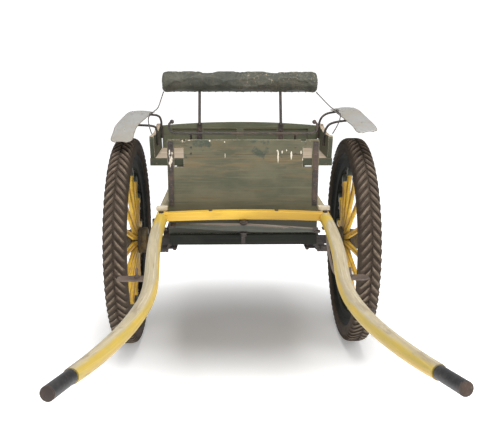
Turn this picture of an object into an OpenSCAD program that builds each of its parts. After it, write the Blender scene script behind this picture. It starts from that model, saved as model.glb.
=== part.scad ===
// Two-wheeled pony cart on pneumatic tyres. Millimetres, +Z up. The shafts point
// along -Y, and "right" is +X, the right-hand side seen from in front of the shafts.

/* [Wheels] */
// Outer diameter of each tyre
wheel_d = 1120; // [1080:10:1130]
// Distance between the two wheel centre planes
track = 1219; // [1200:1:1230]
// Width of each tyre
tyre_w = 114; // [100:1:118]
// Number of spokes in each wheel
spoke_n = 14; // [12:1:14]
// Width of a spoke at mid length
spoke_w = 29; // [22:1:30]
// Diameter of the axle arm that each hub turns on
axle_arm_d = 40; // [36:1:42]

/* [Body] */
// Half of the width of the dash and body
body_half = 345; // [340:1:345]
// Height of the floor's underside above the ground
floor_z = 700; // [690:1:705]
// Height of the top of the dash above the ground
dash_top = 1185; // [1160:1:1200]
// Thickness of the side and dash boards
board_t = 20; // [16:1:22]
// Length of the body behind the axle
body_rear = 420; // [400:5:440]

/* [Seat] */
// Half of the outside width of the seat
seat_half = 473; // [470:1:476]
// Height of the seat board's top
seat_top = 1031; // [1029:1:1033]
// Height of the seat back's top at its centre
back_top = 1178; // [1170:1:1182]
// Half of the length of the padded roll
roll_half = 448; // [430:1:455]
// Diameter of the padded roll
roll_d = 116; // [90:1:120]

/* [Shafts] */
// Distance from the cart's centre to each shaft beside the body
shaft_x = 373; // [373:1:376]
// Diameter of each shaft beside the body
shaft_d = 54; // [50:1:55]
// Diameter of each metal shaft tip
tip_d = 38; // [36:1:40]
// Length of each metal shaft tip
tip_len = 118; // [90:1:130]

/* [Swingletree] */
// Half of the swingletree's length
tree_half = 333; // [300:1:335]
// Thickness of the swingletree at its centre
tree_t = 37; // [34:1:38]
// Angle that the swingletree is turned at rest
tree_turn = 8; // [0:1:10]

/* [Hidden] */
$fn = 64;
yoff = 806;              // moves the axle back so that the origin is under the middle of the cart
R = wheel_d / 2;
axle_z = R;
tree_y = -640;           // swingletree pivot
tree_z = 800;
wx = track / 2;
yellow = [0.72, 0.58, 0.22];
green = [0.16, 0.19, 0.13];
rust = [0.24, 0.17, 0.12];
wood = [0.66, 0.58, 0.46];
iron = [0.2, 0.19, 0.17];

// ---- helpers -------------------------------------------------------------
module put() { translate([0, yoff, 0]) children(); }
module both() { children(); mirror([1, 0, 0]) children(); }
function unit(v) = v / norm(v);
function tang(p, i) = unit((i < len(p) - 1 ? p[i + 1] : p[i]) - (i > 0 ? p[i - 1] : p[i]));
// circle of n points round c, square to d; ref is any direction that the bar never follows
function ring(c, d, r, n, ref) = let (u = unit(cross(d, ref)), v = cross(d, u))
  [for (k = [0:n - 1]) c + r * (cos(360 * k / n) * u + sin(360 * k / n) * v)];
function lerp(a, b, t) = a + (b - a) * t;
// a point on a smooth curve through the points p, u from 0 to len(p) - 1
function cr(p, u) = let (i = min(floor(u), len(p) - 2), t = u - i,
  a = p[max(i - 1, 0)], b = p[i], c = p[i + 1], d = p[min(i + 2, len(p) - 1)])
  0.5 * (2 * b + (c - a) * t + (2 * a - 5 * b + 4 * c - d) * t * t + (3 * b - a - 3 * c + d) * t * t * t);
function smooth(p, m) = [for (k = [0:(len(p) - 1) * m]) cr(p, k / m)];
// a round bar that follows points p with radii r
module bar(p, r, n = 12, ref = [0, 0, 1]) {
  m = len(p);
  pts = [for (i = [0:m - 1]) each ring(p[i], tang(p, i), is_list(r) ? r[i] : r, n, ref)];
  polyhedron(points = pts, faces = concat(
    [[for (k = [0:n - 1]) k]],
    [for (i = [0:m - 2]) for (k = [0:n - 1]) let (a = i * n + k, b = i * n + (k + 1) % n) each [[a, a + n, b], [b, a + n, b + n]]],
    [[for (k = [n - 1:-1:0]) (m - 1) * n + k]]), convexity = 8);
}
// cylinder from point p along d
module along(p, d) {
  translate(p) rotate([0, acos(unit(d)[2]), atan2(d[1], d[0])]) children();
}
// turns a rotate_extrude or cylinder so that its axis is X
module on_x() { rotate([0, 90, 0]) children(); }
module wheel(s) { translate([s * wx, yoff, axle_z]) mirror([s < 0 ? 1 : 0, 0, 0]) children(); }
// a hexagon nut or bolt head, flat to flat f, height h
module hex(f, h) { cylinder(d = f / cos(30), h = h, $fn = 6); }
// strip of thickness t that follows points in a plane, extruded w
module strip(p, t, w) {
  m = len(p);
  nrm = [for (i = [0:m - 1]) let (d = tang(p, i)) [-d[1], d[0]]];
  linear_extrude(w) polygon(concat([for (i = [0:m - 1]) p[i] + nrm[i] * t / 2],
    [for (i = [m - 1:-1:0]) p[i] - nrm[i] * t / 2]));
}

// ---- wheels --------------------------------------------------------------
bead = 466;
module tyre() {
  h = tyre_w / 2;
  color([0.25, 0.22, 0.18]) on_x() rotate_extrude($fn = 96)
    polygon([[bead + 0.3, -h + 22], [bead + 0.3, h - 22], [bead + 9.6, h - 22], [bead + 12, h - 12], [R - 66, h - 1],
      [R - 48, h], [R - 24, h - 2], [R - 9, h - 9], [R - 3, h - 20], [R, h - 36], [R, -h + 36], [R - 3, -h + 20],
      [R - 9, -h + 9], [R - 24, -h + 2], [R - 48, -h], [R - 66, -h + 1], [bead + 12, -h + 12], [bead + 9.6, -h + 22]]);
}
module rim() {
  h = tyre_w / 2 - 21.6;
  color(iron) on_x() rotate_extrude($fn = 96)
    polygon([[442, -26], [442, 26], [bead - 6, h + 2], [bead + 9, h + 5], [bead + 9, h], [bead, h - 0.2], [bead - 4, 20], [bead - 16, 14],
      [bead - 16, -14], [bead - 4, -20], [bead, -h + 0.2], [bead + 9, -h], [bead + 9, -h - 5], [bead - 6, -h - 2]]);
}
module felloe() {
  color(iron) on_x() rotate_extrude($fn = 96)
    polygon([[398, -23], [398, 23], [402, 26], [441.7, 26], [441.7, -26], [402, -26]]);
}
// the wheel is dished: each spoke leans in from the rim to the hub
dish = 33;
module spoke() intersection() {
  rotate([90, 0, 0]) linear_extrude(60, center = true)
    polygon([[62.3, -dish - 15], [120, -dish - 8.3], [350, -18.6], [397, -15], [397, 15], [350, 9.4], [120, -dish + 19.7], [62.3, -dish + 15]]);
  linear_extrude(200, center = true) polygon([[62.3, -12.5], [80, -13.5], [160, -spoke_w / 2], [300, -spoke_w / 2 + 1], [345, -spoke_w / 2 + 1.5],
    [356, -21], [397, -21], [397, 21], [356, 21], [345, spoke_w / 2 - 1.5], [300, spoke_w / 2 - 1], [160, spoke_w / 2], [80, 13.5], [62.3, 12.5]]);
}
module spokes() {
  color(yellow) on_x() for (k = [0:spoke_n - 1]) rotate(k * 360 / spoke_n + 90) spoke();
}
module hub() {
  color([0.5, 0.4, 0.2]) difference() {
    on_x() rotate_extrude() polygon([[0, -98.6], [60, -98.6], [70, -94], [71.5, -86], [71.5, -74], [67, -68], [66, -dish - 30], [72, -dish - 24], [72, -dish - 17], [62, -dish - 16.4],
      [62, -dish + 16.4], [70, -dish + 17], [70, -dish + 22], [62, -dish + 28], [56, -dish + 38], [55, 36], [0, 36]]);
    translate([-100, 0, 0]) on_x() cylinder(r = axle_arm_d / 2 + 0.05, h = 140);
  }
}
module hub_cap() {
  color(rust) difference() {
    translate([36.3, 0, 0]) on_x() rotate_extrude() polygon([[0, 0], [50, 0], [50, 5], [36, 6], [35, 26], [31, 31], [0, 32]]);
    translate([36, 0, 0]) on_x() cylinder(r = 30, h = 26);
  }
}
module rim_bolts() {
  color(rust) on_x() for (k = [0:spoke_n - 1]) rotate((k + 0.5) * 360 / spoke_n + 90) {
    translate([383.6, 0, 0]) rotate([0, 90, 0]) hex(16, 9);
    translate([392.3, 0, 0]) rotate([0, 90, 0]) cylinder(r = 9, h = 5.4);
  }
}
module tyre_left() { wheel(-1) tyre(); }
module tyre_right() { wheel(1) tyre(); }
module rim_left() { wheel(-1) rim(); }
module rim_right() { wheel(1) rim(); }
module felloe_left() { wheel(-1) felloe(); }
module felloe_right() { wheel(1) felloe(); }
module spokes_left() { wheel(-1) spokes(); }
module spokes_right() { wheel(1) spokes(); }
module hub_left() { wheel(-1) hub(); }
module hub_right() { wheel(1) hub(); }
module rim_bolts_left() { wheel(-1) rim_bolts(); }
module rim_bolts_right() { wheel(1) rim_bolts(); }
module hub_cap_left() { wheel(-1) hub_cap(); }
module hub_cap_right() { wheel(1) hub_cap(); }

// ---- axle and springs ----------------------------------------------------
module axle() {
  color(rust) put() translate([0, 0, axle_z]) {
    cube([2 * (wx - 116), 40, 40], center = true);
    both() {
      translate([wx - 117, 0, 0]) on_x() cylinder(r = 34, h = 17);
      translate([wx - 101, 0, 0]) on_x() cylinder(d = axle_arm_d, h = 138);
      translate([wx + 36, 0, 0]) on_x() cylinder(r = 12, h = 21);
    }
  }
}
module axle_nuts() {
  color(rust) put() translate([0, 0, axle_z]) both() difference() {
    translate([wx + 38, 0, 0]) on_x() hex(38, 16);
    translate([wx + 30, 0, 0]) on_x() cylinder(r = 12.3, h = 40);
  }
}
sx = 392;                 // spring centre from the cart's centre
sw = 44;                  // spring width
function leaf(a, z0, k) = [for (i = [-k:k]) let (y = a * i / k) [y, z0 + y * y / 5300]];
module spring_one() {
  // top leaf with an eye at each end, then shorter leaves below it
  translate([sx - sw / 2, 0, 0]) rotate([90, 0, 90]) {
    difference() {
      union() { strip(leaf(490, 606, 14), 8, sw); for (e = [-1, 1]) translate([e * 500, 660, 0]) cylinder(r = 17, h = sw); }
      for (e = [-1, 1]) translate([e * 500, 660, -1]) cylinder(r = 8.3, h = sw + 2);
    }
    strip(leaf(390, 598.4, 12), 7, sw);
    strip(leaf(280, 591, 10), 7, sw);
    strip(leaf(170, 583.7, 8), 7, sw);
  }
}
module springs() { color(rust) put() both() spring_one(); }
module axle_clips() {
  color(iron) put() both() translate([sx, 0, 0]) {
    for (e = [-1, 1]) translate([0, e * 30, 0]) difference() {
      translate([-31, -5, 528]) cube([62, 10, 94]);
      translate([-23.3, -6, 520]) cube([46.6, 12, 93.6]);
    }
    difference() {
      translate([-40, -42, 520]) cube([80, 84, 8]);
      for (i = [-1, 1], j = [-1, 1]) translate([i * 34, j * 30, 515]) cylinder(r = 4, h = 20);
    }
    for (i = [-1, 1], j = [-1, 1]) translate([i * 27.2, j * 30, 511]) hex(16, 9);
  }
}
module spring_shackles() {
  color(rust) put() both() {
    for (i = [-1, 1]) translate([sx + i * (sw / 2 + 4.5), 0, 0]) rotate([90, 0, 90]) translate([0, 0, -3.5]) difference() {
      union() { translate([500, 660, 0]) cylinder(r = 15, h = 7); translate([500, 720, 0]) cylinder(r = 15, h = 7); translate([487, 660, 0]) cube([26, 60, 7]); }
      for (z = [660, 720]) translate([500, z, -1]) cylinder(r = 8.2, h = 9);
    }
    for (p = [[500, 660], [500, 720]]) {
      translate([sx - 38, p[0], p[1]]) on_x() cylinder(r = 8, h = 76);
      for (s = [-1, 1]) translate([sx + s * 38 - (s > 0 ? 0 : 9), p[0], p[1]]) on_x() hex(22, 9);
    }
    // front pin: headless inside, nut outside
    translate([sx - 36.5, -500, 660]) on_x() cylinder(r = 8, h = 74.5);
    translate([sx + 38, -500, 660]) on_x() hex(22, 9);
  }
}
module spring_hangers() {
  color(rust) put() both() {
    // front: curved iron from the body's bottom corner out to a fork on the spring eye
    difference() {
      union() {
        translate([0, -485, 0]) rotate([90, 0, 0]) strip(smooth([[300, 693.7], [333, 691], [352, 674], [358, 662]], 4), 12, 30);
        translate([355, -500, 660]) on_x() cylinder(r = 17, h = 13);
        translate([sx + sw / 2 + 1, -500, 660]) on_x() cylinder(r = 17, h = 10);
        translate([sx + sw / 2 + 1, -512, 660]) cube([10, 24, 146]);
        translate([350, -512, 803]) cube([75, 24, 3]);
      }
      translate([300, -500, 660]) on_x() cylinder(r = 8.2, h = 200);
      translate([shaft_x, -600, 838]) rotate([-90, 0, 0]) cylinder(r = 28.2, h = 200);
    }
    // rear: plate under the shaft carrying the shackle's top bolt
    difference() {
      union() {
        translate([sx - 21.5, 482, 704]) cube([43, 36, 97]);
        translate([sx - 40, 460, 797.5]) cube([60, 60, 7]);
      }
      translate([300, 500, 720]) on_x() cylinder(r = 8.2, h = 200);
    }
  }
}

// ---- shafts --------------------------------------------------------------
// distance from the centre plane and height at stations along the cart
shaft_pts = smooth([[shaft_x, 520, 832], [shaft_x, 200, 832], [shaft_x, -200, 834], [shaft_x, -500, 838], [shaft_x - 1, -650, 837],
  [370, -800, 834], [366, -950, 823], [358, -1100, 806], [346, -1250, 786], [340, -1380, 774], [346, -1500, 768],
  [366, -1650, 769], [394, -1800, 778], [426, -1950, 793], [450, -2056, 809]], 3);
shaft_r = [for (i = [0:len(shaft_pts) - 1]) let (y = shaft_pts[i][1]) lerp(tip_d / 2 + 2.5, shaft_d / 2, min(1, pow((y + 2056) / 500, 0.6)))];
tip_dir = unit([25, -117, 18]);
tip_from = [450, -2056, 809];
module shaft() {
  color([0.75, 0.66, 0.45]) put() {
    difference() {
      bar(shaft_pts, shaft_r, 20);
      // lap for the crossbar
      translate([300, -622.3, 821]) cube([150, 44.6, 60]);
    }
    along(tip_from - tip_dir * 6, tip_dir) cylinder(d = tip_d - 6, h = tip_len);
    // packing block that stands on the shaft behind the crossbar
    translate([shaft_x - 26, -572, 864.2]) cube([52, 34, 16]);
  }
}
module shaft_tip() {
  color(iron) put() along(tip_from + tip_dir * 2.5, tip_dir) difference() {
    cylinder(d = tip_d, h = tip_len);
    translate([0, 0, -1]) cylinder(d = tip_d - 5.4, h = tip_len - 6);
  }
}
module shaft_right() { shaft(); }
module shaft_left() { mirror([1, 0, 0]) shaft(); }
module shaft_tip_right() { shaft_tip(); }
module shaft_tip_left() { mirror([1, 0, 0]) shaft_tip(); }
module shaft_hook() {
  // staple and hook under the right shaft for the breeching strap
  color(rust) put() {
    bar(smooth([[344, -1440, 742.5], [352, -1440, 724.5], [378, -1440, 714.5], [402, -1442, 714.5], [420, -1444, 720.5]], 4), 4.5, 10, [0, 1, 0]);
    translate([334, -1458, 736.5]) cube([26, 36, 5]);
    translate([418, -1444, 722.5]) sphere(r = 8);
  }
}
module crossbar() {
  color([0.85, 0.68, 0.1]) put() translate([0, -578, 0]) rotate([90, 0, 0]) linear_extrude(44)
    polygon(concat([for (i = [-12:12]) let (x = i * 393 / 12) [x, 871 - 13 * pow(x / 393, 2)]],
      [for (i = [12:-1:-12]) let (x = i * 393 / 12) [x, 831 - 9 * pow(x / 393, 2)]]));
}
module crossbar_bolts() {
  color(rust) put() both() {
    translate([shaft_x, -600, 860.3]) hex(20, 8);
    translate([150, -600, 869.7]) cylinder(r = 9, h = 3);
  }
}

// ---- body ----------------------------------------------------------------
dash_y = -545;            // front face of the dash
module dash_board() {
  color([0.3, 0.3, 0.18]) put() difference() {
    translate([-body_half, dash_y, 745]) cube([2 * body_half, board_t, dash_top - 745]);
    both() {
      // reach-through slots for the reins
      translate([271, dash_y - 1, 1060]) cube([43, board_t + 2, 90]);
      translate([262, dash_y - 1, dash_top - 8]) cube([22, board_t + 2, 10]);
    }
  }
}
module dash_irons() {
  color(rust) put() {
    both() translate([317, dash_y - 4, 880]) cube([24, 4, 296]);
    both() translate([226, -525, 1110]) cube([22, 4.5, 62]);
  }
}
module dash_rivets() {
  color(iron) put() both() {
    for (z = [905, 975, 1045, 1115, 1165]) translate([329, dash_y - 4, z]) rotate([90, 0, 0]) cylinder(r1 = 6.5, r2 = 4, h = 3.2, $fn = 24);
    for (z = [1122, 1150]) translate([237, dash_y, z]) rotate([90, 0, 0]) cylinder(r1 = 5, r2 = 3.5, h = 2.5, $fn = 24);
  }
}
// the rail bends up at each end and curls in to a ball
scroll = concat([[145, -535, 1212]], [for (a = [-90:15:0]) [304 + 30 * cos(a), -535, 1242 + 30 * sin(a)]], [[333, -535, 1253], [327, -535, 1260]]);
module rein_rail() {
  color(iron) put() {
    bar(concat([for (i = [len(scroll) - 1:-1:0]) [-scroll[i][0], scroll[i][1], scroll[i][2]]], scroll), 5, 10, [0, 1, 0]);
    both() {
      bar(smooth([[237, -515.5, 1112], [237, -515.5, 1160], [237, -519, 1190], [237, -535, 1211]], 4), 5, 10, [1, 0, 0]);
      translate([320, -535, 1264]) sphere(r = 9.5, $fn = 32);
    }
  }
}
module front_sill() {
  color(green) put() translate([-body_half + 2, -560, 695]) cube([2 * body_half - 4, 35, 50]);
}
module centre_strap() {
  // strap under the crossbar and the clevis that carries the swingletree
  color(rust) put() {
    translate([-9, -564, 698]) cube([18, 4, 51]);
    translate([-9, dash_y - 4, 745]) cube([18, 4, 77]);
    translate([-9, -564, 745.2]) cube([18, 19, 3.8]);
    difference() {
      for (z = [tree_z - 27.5, tree_z + 19.5]) {
        translate([-17, tree_y, z]) cube([34, dash_y - 0.5 - tree_y, 6]);
        translate([0, tree_y, z]) cylinder(r = 17, h = 6);
      }
      translate([0, tree_y, 700]) cylinder(r = 7.3, h = 200);
    }
    translate([-17, dash_y - 4.5, tree_z - 27.5]) cube([34, 4.5, 53]);
    // pivot bolt
    translate([0, tree_y, tree_z - 38]) cylinder(r = 7, h = 65);
    translate([0, tree_y, tree_z + 25.5]) cylinder(r = 11, h = 6);
    translate([0, tree_y, tree_z - 40]) hex(22, 12);
  }
}
module floor_boards() {
  n = 6;
  w = 2 * body_half / n;
  color([0.3, 0.26, 0.2]) put() for (k = [0:n - 1]) translate([-body_half + k * w + 0.5, -524.5, floor_z]) cube([w - 1, 524.5 + body_rear - 20, 18]);
}
module floor_bearers() {
  color(green) put() for (y = [-360, -120, 120, 325]) translate([-body_half + 2, y - 22, floor_z - 36]) cube([2 * body_half - 4, 44, 36]);
}
module side() {
  color(green) put() difference() {
    translate([body_half - board_t, -524.5, 718]) cube([board_t, 524.5 + body_rear - 20, 254]);
    for (z = [802, 887]) translate([body_half - board_t - 1, -530, z]) cube([3, 1100, 2]);
  }
}
module side_right() { side(); }
module side_left() { mirror([1, 0, 0]) side(); }
module side_battens() {
  color(green) put() both() for (y = [-470, -180, 130, 360]) {
    translate([body_half - board_t - 18.3, y - 20, 718.3]) cube([18, 40, 251]);
    // outside corner post that carries a turn button
    if (y > 300) translate([body_half + 0.3, body_rear - 40, 864.5]) cube([24, 40, 107]);
  }
}
hz = 706;                 // tailboard hinge height
hy = body_rear + 12;
module tailboard() {
  color(green) put() difference() {
    translate([-body_half + 1, body_rear - 19.5, 719]) cube([2 * body_half - 2, 20, 249]);
    for (z = [802, 887]) translate([-400, body_rear - 1.5, z]) cube([800, 3, 2]);
  }
}
module hinge_straps() {
  // straps on the tailboard with the moving knuckles
  color(rust) put() for (x = [-230, 230]) difference() {
    union() {
      translate([x - 15, body_rear + 0.6, 722]) cube([30, 5, 200]);
      translate([x - 15, body_rear + 0.6, hz]) cube([30, 5, 18]);
      translate([x - 15, hy, hz]) on_x() cylinder(r = 11, h = 30);
      for (z = [760, 830, 900]) translate([x, body_rear + 5, z]) rotate([-90, 0, 0]) cylinder(r1 = 7, r2 = 4, h = 4, $fn = 24);
    }
    translate([x - 20, hy, hz]) on_x() cylinder(r = 6.05, h = 40);
  }
}
module tail_hinges() {
  // fixed knuckles under the floor and their pins
  color(iron) put() for (x = [-230, 230]) {
    for (s = [-1, 1]) translate([x + s * 22.8 - 7, 0, 0]) difference() {
      union() {
        translate([0, hy, hz]) on_x() cylinder(r = 10, h = 14);
        translate([0, body_rear - 60, 694]) cube([14, 66, 6]);
        translate([0, body_rear + 1, 694]) cube([14, 8, 12]);
      }
    }
    translate([x - 34, hy, hz]) on_x() cylinder(r = 6, h = 68);
    for (s = [-1, 1]) translate([x + s * 36 - 2.5, hy, hz]) on_x() cylinder(r = 9, h = 5);
  }
  // pins of the turn buttons
  color(iron) put() both() translate([body_half + 12, body_rear + 0.2, 925]) rotate([-90, 0, 0]) {
    cylinder(r = 5, h = 8);
    translate([0, 0, 7.4]) cylinder(r1 = 10, r2 = 7, h = 4, $fn = 24);
  }
}
module turn_button() {
  // stands upright beside the tailboard, turns across it to hold it shut
  color(rust) put() translate([body_half + 12, body_rear + 1, 925]) rotate([-90, 0, 0]) difference() {
    union() {
      cylinder(r = 11, h = 6);
      translate([-8, -46, 0]) cube([16, 46, 6]);
      translate([0, -46, 0]) cylinder(r = 8, h = 6);
    }
    translate([0, 0, -1]) cylinder(r = 5.05, h = 10);
  }
}
module turn_button_right() { turn_button(); }
module turn_button_left() { mirror([1, 0, 0]) turn_button(); }

// ---- seat ----------------------------------------------------------------
back_y = 272;             // front face of the seat back
module seat_board() {
  color(wood) put() for (k = [0:2]) translate([-447.5, -99.5 + k * 123.8, seat_top - 19]) cube([895, 123.3, 19]);
}
module seat_rails() {
  color(green) put() {
    difference() {
      translate([-seat_half, -118, 994]) cube([2 * seat_half, 18, seat_top - 994]);
      translate([-seat_half - 1, -120, seat_top - 5]) rotate([45, 0, 0]) cube([2 * seat_half + 2, 5, 5]);
    }
    // small bolt heads under the rail's front edge
    for (x = [-440, -290, -145, 0, 145, 290, 440]) translate([x, -118, 1002]) rotate([90, 0, 0]) cylinder(r1 = 5.5, r2 = 3.5, h = 3, $fn = 24);
  }
}
module seat_bearers() {
  color(green) put() for (y = [20, 215]) translate([-447.5, y, 972]) cube([895, 40, seat_top - 19 - 972]);
}
module seat_end() {
  // shaped end board, tilted outward a little at the top
  color(green) put() translate([448, 0, 994]) rotate([0, 2.2, 0]) translate([0, 0, 0]) rotate([90, 0, 90]) linear_extrude(23)
    polygon(concat([[-99.5, 1], [-99.5, 130]], [for (i = [0:12]) let (t = i / 12) [-99.5 + 16 * (1 - cos(90 * t)), 130 + 24 * sin(90 * t)]],
      [for (i = [1:12]) let (t = i / 12) [-83.5 + 383 * t, 154 - 12 * sin(180 * t) + 20 * t * t]], [[300, 172], [300, 1]]));
}
module seat_end_right() { seat_end(); }
module seat_end_left() { mirror([1, 0, 0]) seat_end(); }
module seat_back() {
  color(green) put() translate([0, back_y + 25, 0]) rotate([90, 0, 0]) difference() {
    linear_extrude(25) difference() {
      polygon(concat([[-444, 994], [444, 994]], [for (i = [12:-1:-12]) let (x = i * 37) [x, back_top - 20 * pow(x / 444, 2)]]));
      both() { translate([20, 1068]) square([190, 73]); translate([248, 1068]) square([140, 73]); }
    }
    // notches in the top edge for the back irons' rods
    both() translate([iron_x - 11, 1150, 11]) cube([22, 50, 22]);
  }
}
module back_panels() {
  color([0.2, 0.23, 0.17]) put() both() {
    translate([20.3, back_y + 9, 1068.3]) cube([189.4, 9, 72.4]);
    translate([248.3, back_y + 9, 1068.3]) cube([139.4, 9, 72.4]);
  }
}
roll_c = [0, 360, 1398];
iron_x = 232;
iron_top = [iron_x, 354, 1366];
iron_low = [iron_x, 268.6, 1166];
module back_irons() {
  color(rust) put() both() {
    translate([iron_x - 14.5, back_y - 6.3, 1033]) cube([29, 6, 137]);
    along(iron_low, iron_top - iron_low) cylinder(r = 8, h = norm(iron_top - iron_low) + 20);
    translate([iron_low[0], iron_low[1], iron_low[2]]) sphere(r = 9, $fn = 32);
    for (z = [1050, 1090, 1130]) translate([iron_x, back_y - 6, z]) rotate([90, 0, 0]) cylinder(r1 = 7, r2 = 4, h = 3.5, $fn = 24);
  }
}
module back_roll() {
  color([0.22, 0.22, 0.18]) put() difference() {
    translate(roll_c) on_x() rotate_extrude() polygon(concat([[0, -roll_half], [0, roll_half]],
      [for (a = [90:-10:0]) [roll_d / 2 - 26 + 26 * cos(a), roll_half - 26 + 26 * sin(a)]],
      [for (a = [0:-10:-90]) [roll_d / 2 - 26 + 26 * cos(a), -roll_half + 26 + 26 * sin(a)]]));
    translate(roll_c + [-430, 0, 0]) on_x() cylinder(r = 20.3, h = 860);
    both() along(iron_low, iron_top - iron_low) cylinder(r = 8.5, h = norm(iron_top - iron_low) + 40);
  }
}
module roll_core() {
  color(wood) put() difference() {
    translate(roll_c + [-428, 0, 0]) on_x() cylinder(r = 20, h = 856);
    both() along(iron_low, iron_top - iron_low) cylinder(r = 8.4, h = norm(iron_top - iron_low) + 40);
  }
}

// ---- mudguards, their irons and the stays ---------------------------------
// inner and outer edge of each bent plate: rear, bend, front
guard_l = [[[486, 560, 1206], [615, 560, 1208]], [[486, 300, 1235], [615, 300, 1237]], [[500, 180, 1232], [630, 180, 1234]],
  [[541, -20, 1192], [658, -20, 1193]], [[546, -110, 1170], [657, -110, 1171]], [[548, -205, 1141], [656, -205, 1142]], [[572, -234, 1131], [632, -234, 1132]]];
guard_r = [[[513, 560, 1227], [645, 560, 1236]], [[513, 300, 1250], [645, 300, 1262]], [[528, 180, 1246], [660, 180, 1256]],
  [[554, -20, 1220], [676, -20, 1226]], [[558, -150, 1212], [670, -150, 1220]], [[559, -300, 1196], [661, -300, 1206]], [[584, -326, 1190], [640, -326, 1197]]];
module guard(g) {
  first = 1;
  a = smooth([for (i = [first:len(g) - 1]) g[i][0]], 4);
  b = smooth([for (i = [first:len(g) - 1]) g[i][1]], 4);
  m = len(a);
  color([0.6, 0.6, 0.58]) polyhedron(points = [for (i = [0:m - 1]) each [b[i], a[i], a[i] - [0, 0, 3.5], b[i] - [0, 0, 3.5]]],
    faces = concat([[0, 1, 2], [0, 2, 3]], [for (i = [0:m - 2]) for (k = [0:3]) let (p = 4 * i + k, q = 4 * i + (k + 1) % 4) each [[p, p + 4, q], [q, p + 4, q + 4]]],
      [[4 * m - 1, 4 * m - 2, 4 * m - 3], [4 * m - 1, 4 * m - 3, 4 * m - 4]]), convexity = 4);
}
module guard_left() { put() mirror([1, 0, 0]) guard(guard_l); }
module guard_right() { put() guard(guard_r); }
module guard_irons() {
  color(rust) put() {
    // rear pair rises inside the seat ends, then turns out under each guard
    mirror([1, 0, 0]) {
      bar(smooth([[444, 250, 1090], [446, 250, 1150], [448, 250, 1190], [462, 250, 1214], [505, 250, 1222], [596, 250, 1223.5]], 4), 5, 10, [0, 1, 0]);
      bar(smooth([[444, 20, 1080], [446, 20, 1132], [450, 20, 1163], [466, 20, 1182], [540, 20, 1188], [636, 20, 1189]], 4), 5, 10, [0, 1, 0]);
    }
    bar(smooth([[444, 250, 1090], [446, 250, 1150], [456, 250, 1196], [482, 250, 1224], [530, 250, 1237.5], [624, 250, 1245.5]], 4), 5, 10, [0, 1, 0]);
    bar(smooth([[444, 20, 1080], [446, 20, 1132], [457, 20, 1172], [483, 20, 1198], [550, 20, 1212], [656, 20, 1217.2]], 4), 5, 10, [0, 1, 0]);
  }
}
module stay_wires() {
  color(iron) put() {
    mirror([1, 0, 0]) bar(smooth([[440, 360, 1343], [450, 322, 1306], [462, 250, 1262], [481, 190, 1243], [497, 120, 1226], [496, 60, 1212], [484, -10, 1186], [466, -70, 1153]], 4), 2.6, 8, [1, 0, 0]);
    bar(smooth([[441, 360, 1343], [468, 332, 1314], [506, 262, 1272], [524, 200, 1257], [538, 120, 1247], [536, 50, 1234], [513, -20, 1199], [476, -80, 1155]], 4), 2.6, 8, [1, 0, 0]);
  }
}

// ---- steps ---------------------------------------------------------------
module steps() {
  color(rust) put() both() {
    translate([0, -664, 0]) rotate([90, 0, 0]) strip(smooth([[372, 804], [378, 730], [392, 660], [410, 600], [430, 582]], 4), 9, 26);
    translate([350, -697, 802]) cube([50, 40, 6]);
    // flat tread with a chamfered outer end and turned-down front edge
    translate([0, 0, 570]) linear_extrude(7) polygon([[424, -712], [550, -712], [571, -696], [571, -664], [550, -648], [424, -648]]);
    translate([482, -680, 577]) hex(22, 12);
    translate([482, -680, 577]) cylinder(r = 7, h = 44);
  }
}

// ---- swingletree ---------------------------------------------------------
module tree_frame() { put() translate([0, tree_y, tree_z]) rotate([0, 0, -tree_turn]) children(); }
module swingletree() {
  color(green) tree_frame() difference() {
    union() {
      bar([for (k = [-8:8]) [tree_half * k / 8, 0, 0]], [for (k = [-8:8]) lerp(tree_t / 2, 8.5, pow(abs(k) / 8, 1.6))], 16);
      cylinder(r = 19, h = 34, center = true);
    }
    translate([0, 0, -50]) cylinder(r = 7.05, h = 100);
    // seats for the end irons
    both() translate([tree_half - 24.3, 0, 0]) on_x() difference() { cylinder(r = 14, h = 40); cylinder(r = 8, h = 40); }
  }
}
module swingletree_irons() {
  // a band and trace eye on each end
  color(rust) tree_frame() both() {
    difference() {
      union() {
        translate([tree_half - 24, 0, 0]) on_x() cylinder(r = 12, h = 26);
        translate([tree_half - 8, -14, -4]) cube([10, 12, 8]);
        translate([tree_half - 3, -22, -4]) cylinder(r = 15, h = 8);
      }
      translate([tree_half - 30, 0, 0]) on_x() cylinder(r = 8.3, h = 30.3);
      translate([tree_half - 3, -22, -10]) cylinder(r = 8, h = 20);
    }
  }
}

tyre_left();
tyre_right();
rim_left();
rim_right();
felloe_left();
felloe_right();
spokes_left();
spokes_right();
hub_left();
hub_right();
rim_bolts_left();
rim_bolts_right();
hub_cap_left();
hub_cap_right();
axle();
axle_nuts();
axle_clips();
springs();
spring_shackles();
spring_hangers();
shaft_left();
shaft_right();
shaft_tip_left();
shaft_tip_right();
shaft_hook();
crossbar();
crossbar_bolts();
front_sill();
centre_strap();
floor_boards();
floor_bearers();
dash_board();
dash_irons();
dash_rivets();
rein_rail();
side_left();
side_right();
side_battens();
tailboard();
tail_hinges();
hinge_straps();
turn_button_left();
turn_button_right();
seat_board();
seat_rails();
seat_bearers();
seat_end_left();
seat_end_right();
seat_back();
back_panels();
back_irons();
back_roll();
roll_core();
guard_left();
guard_right();
guard_irons();
stay_wires();
steps();
swingletree();
swingletree_irons();
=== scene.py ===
import bpy, bmesh, math, random
import numpy as np
from mathutils import Vector, Matrix, noise


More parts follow.
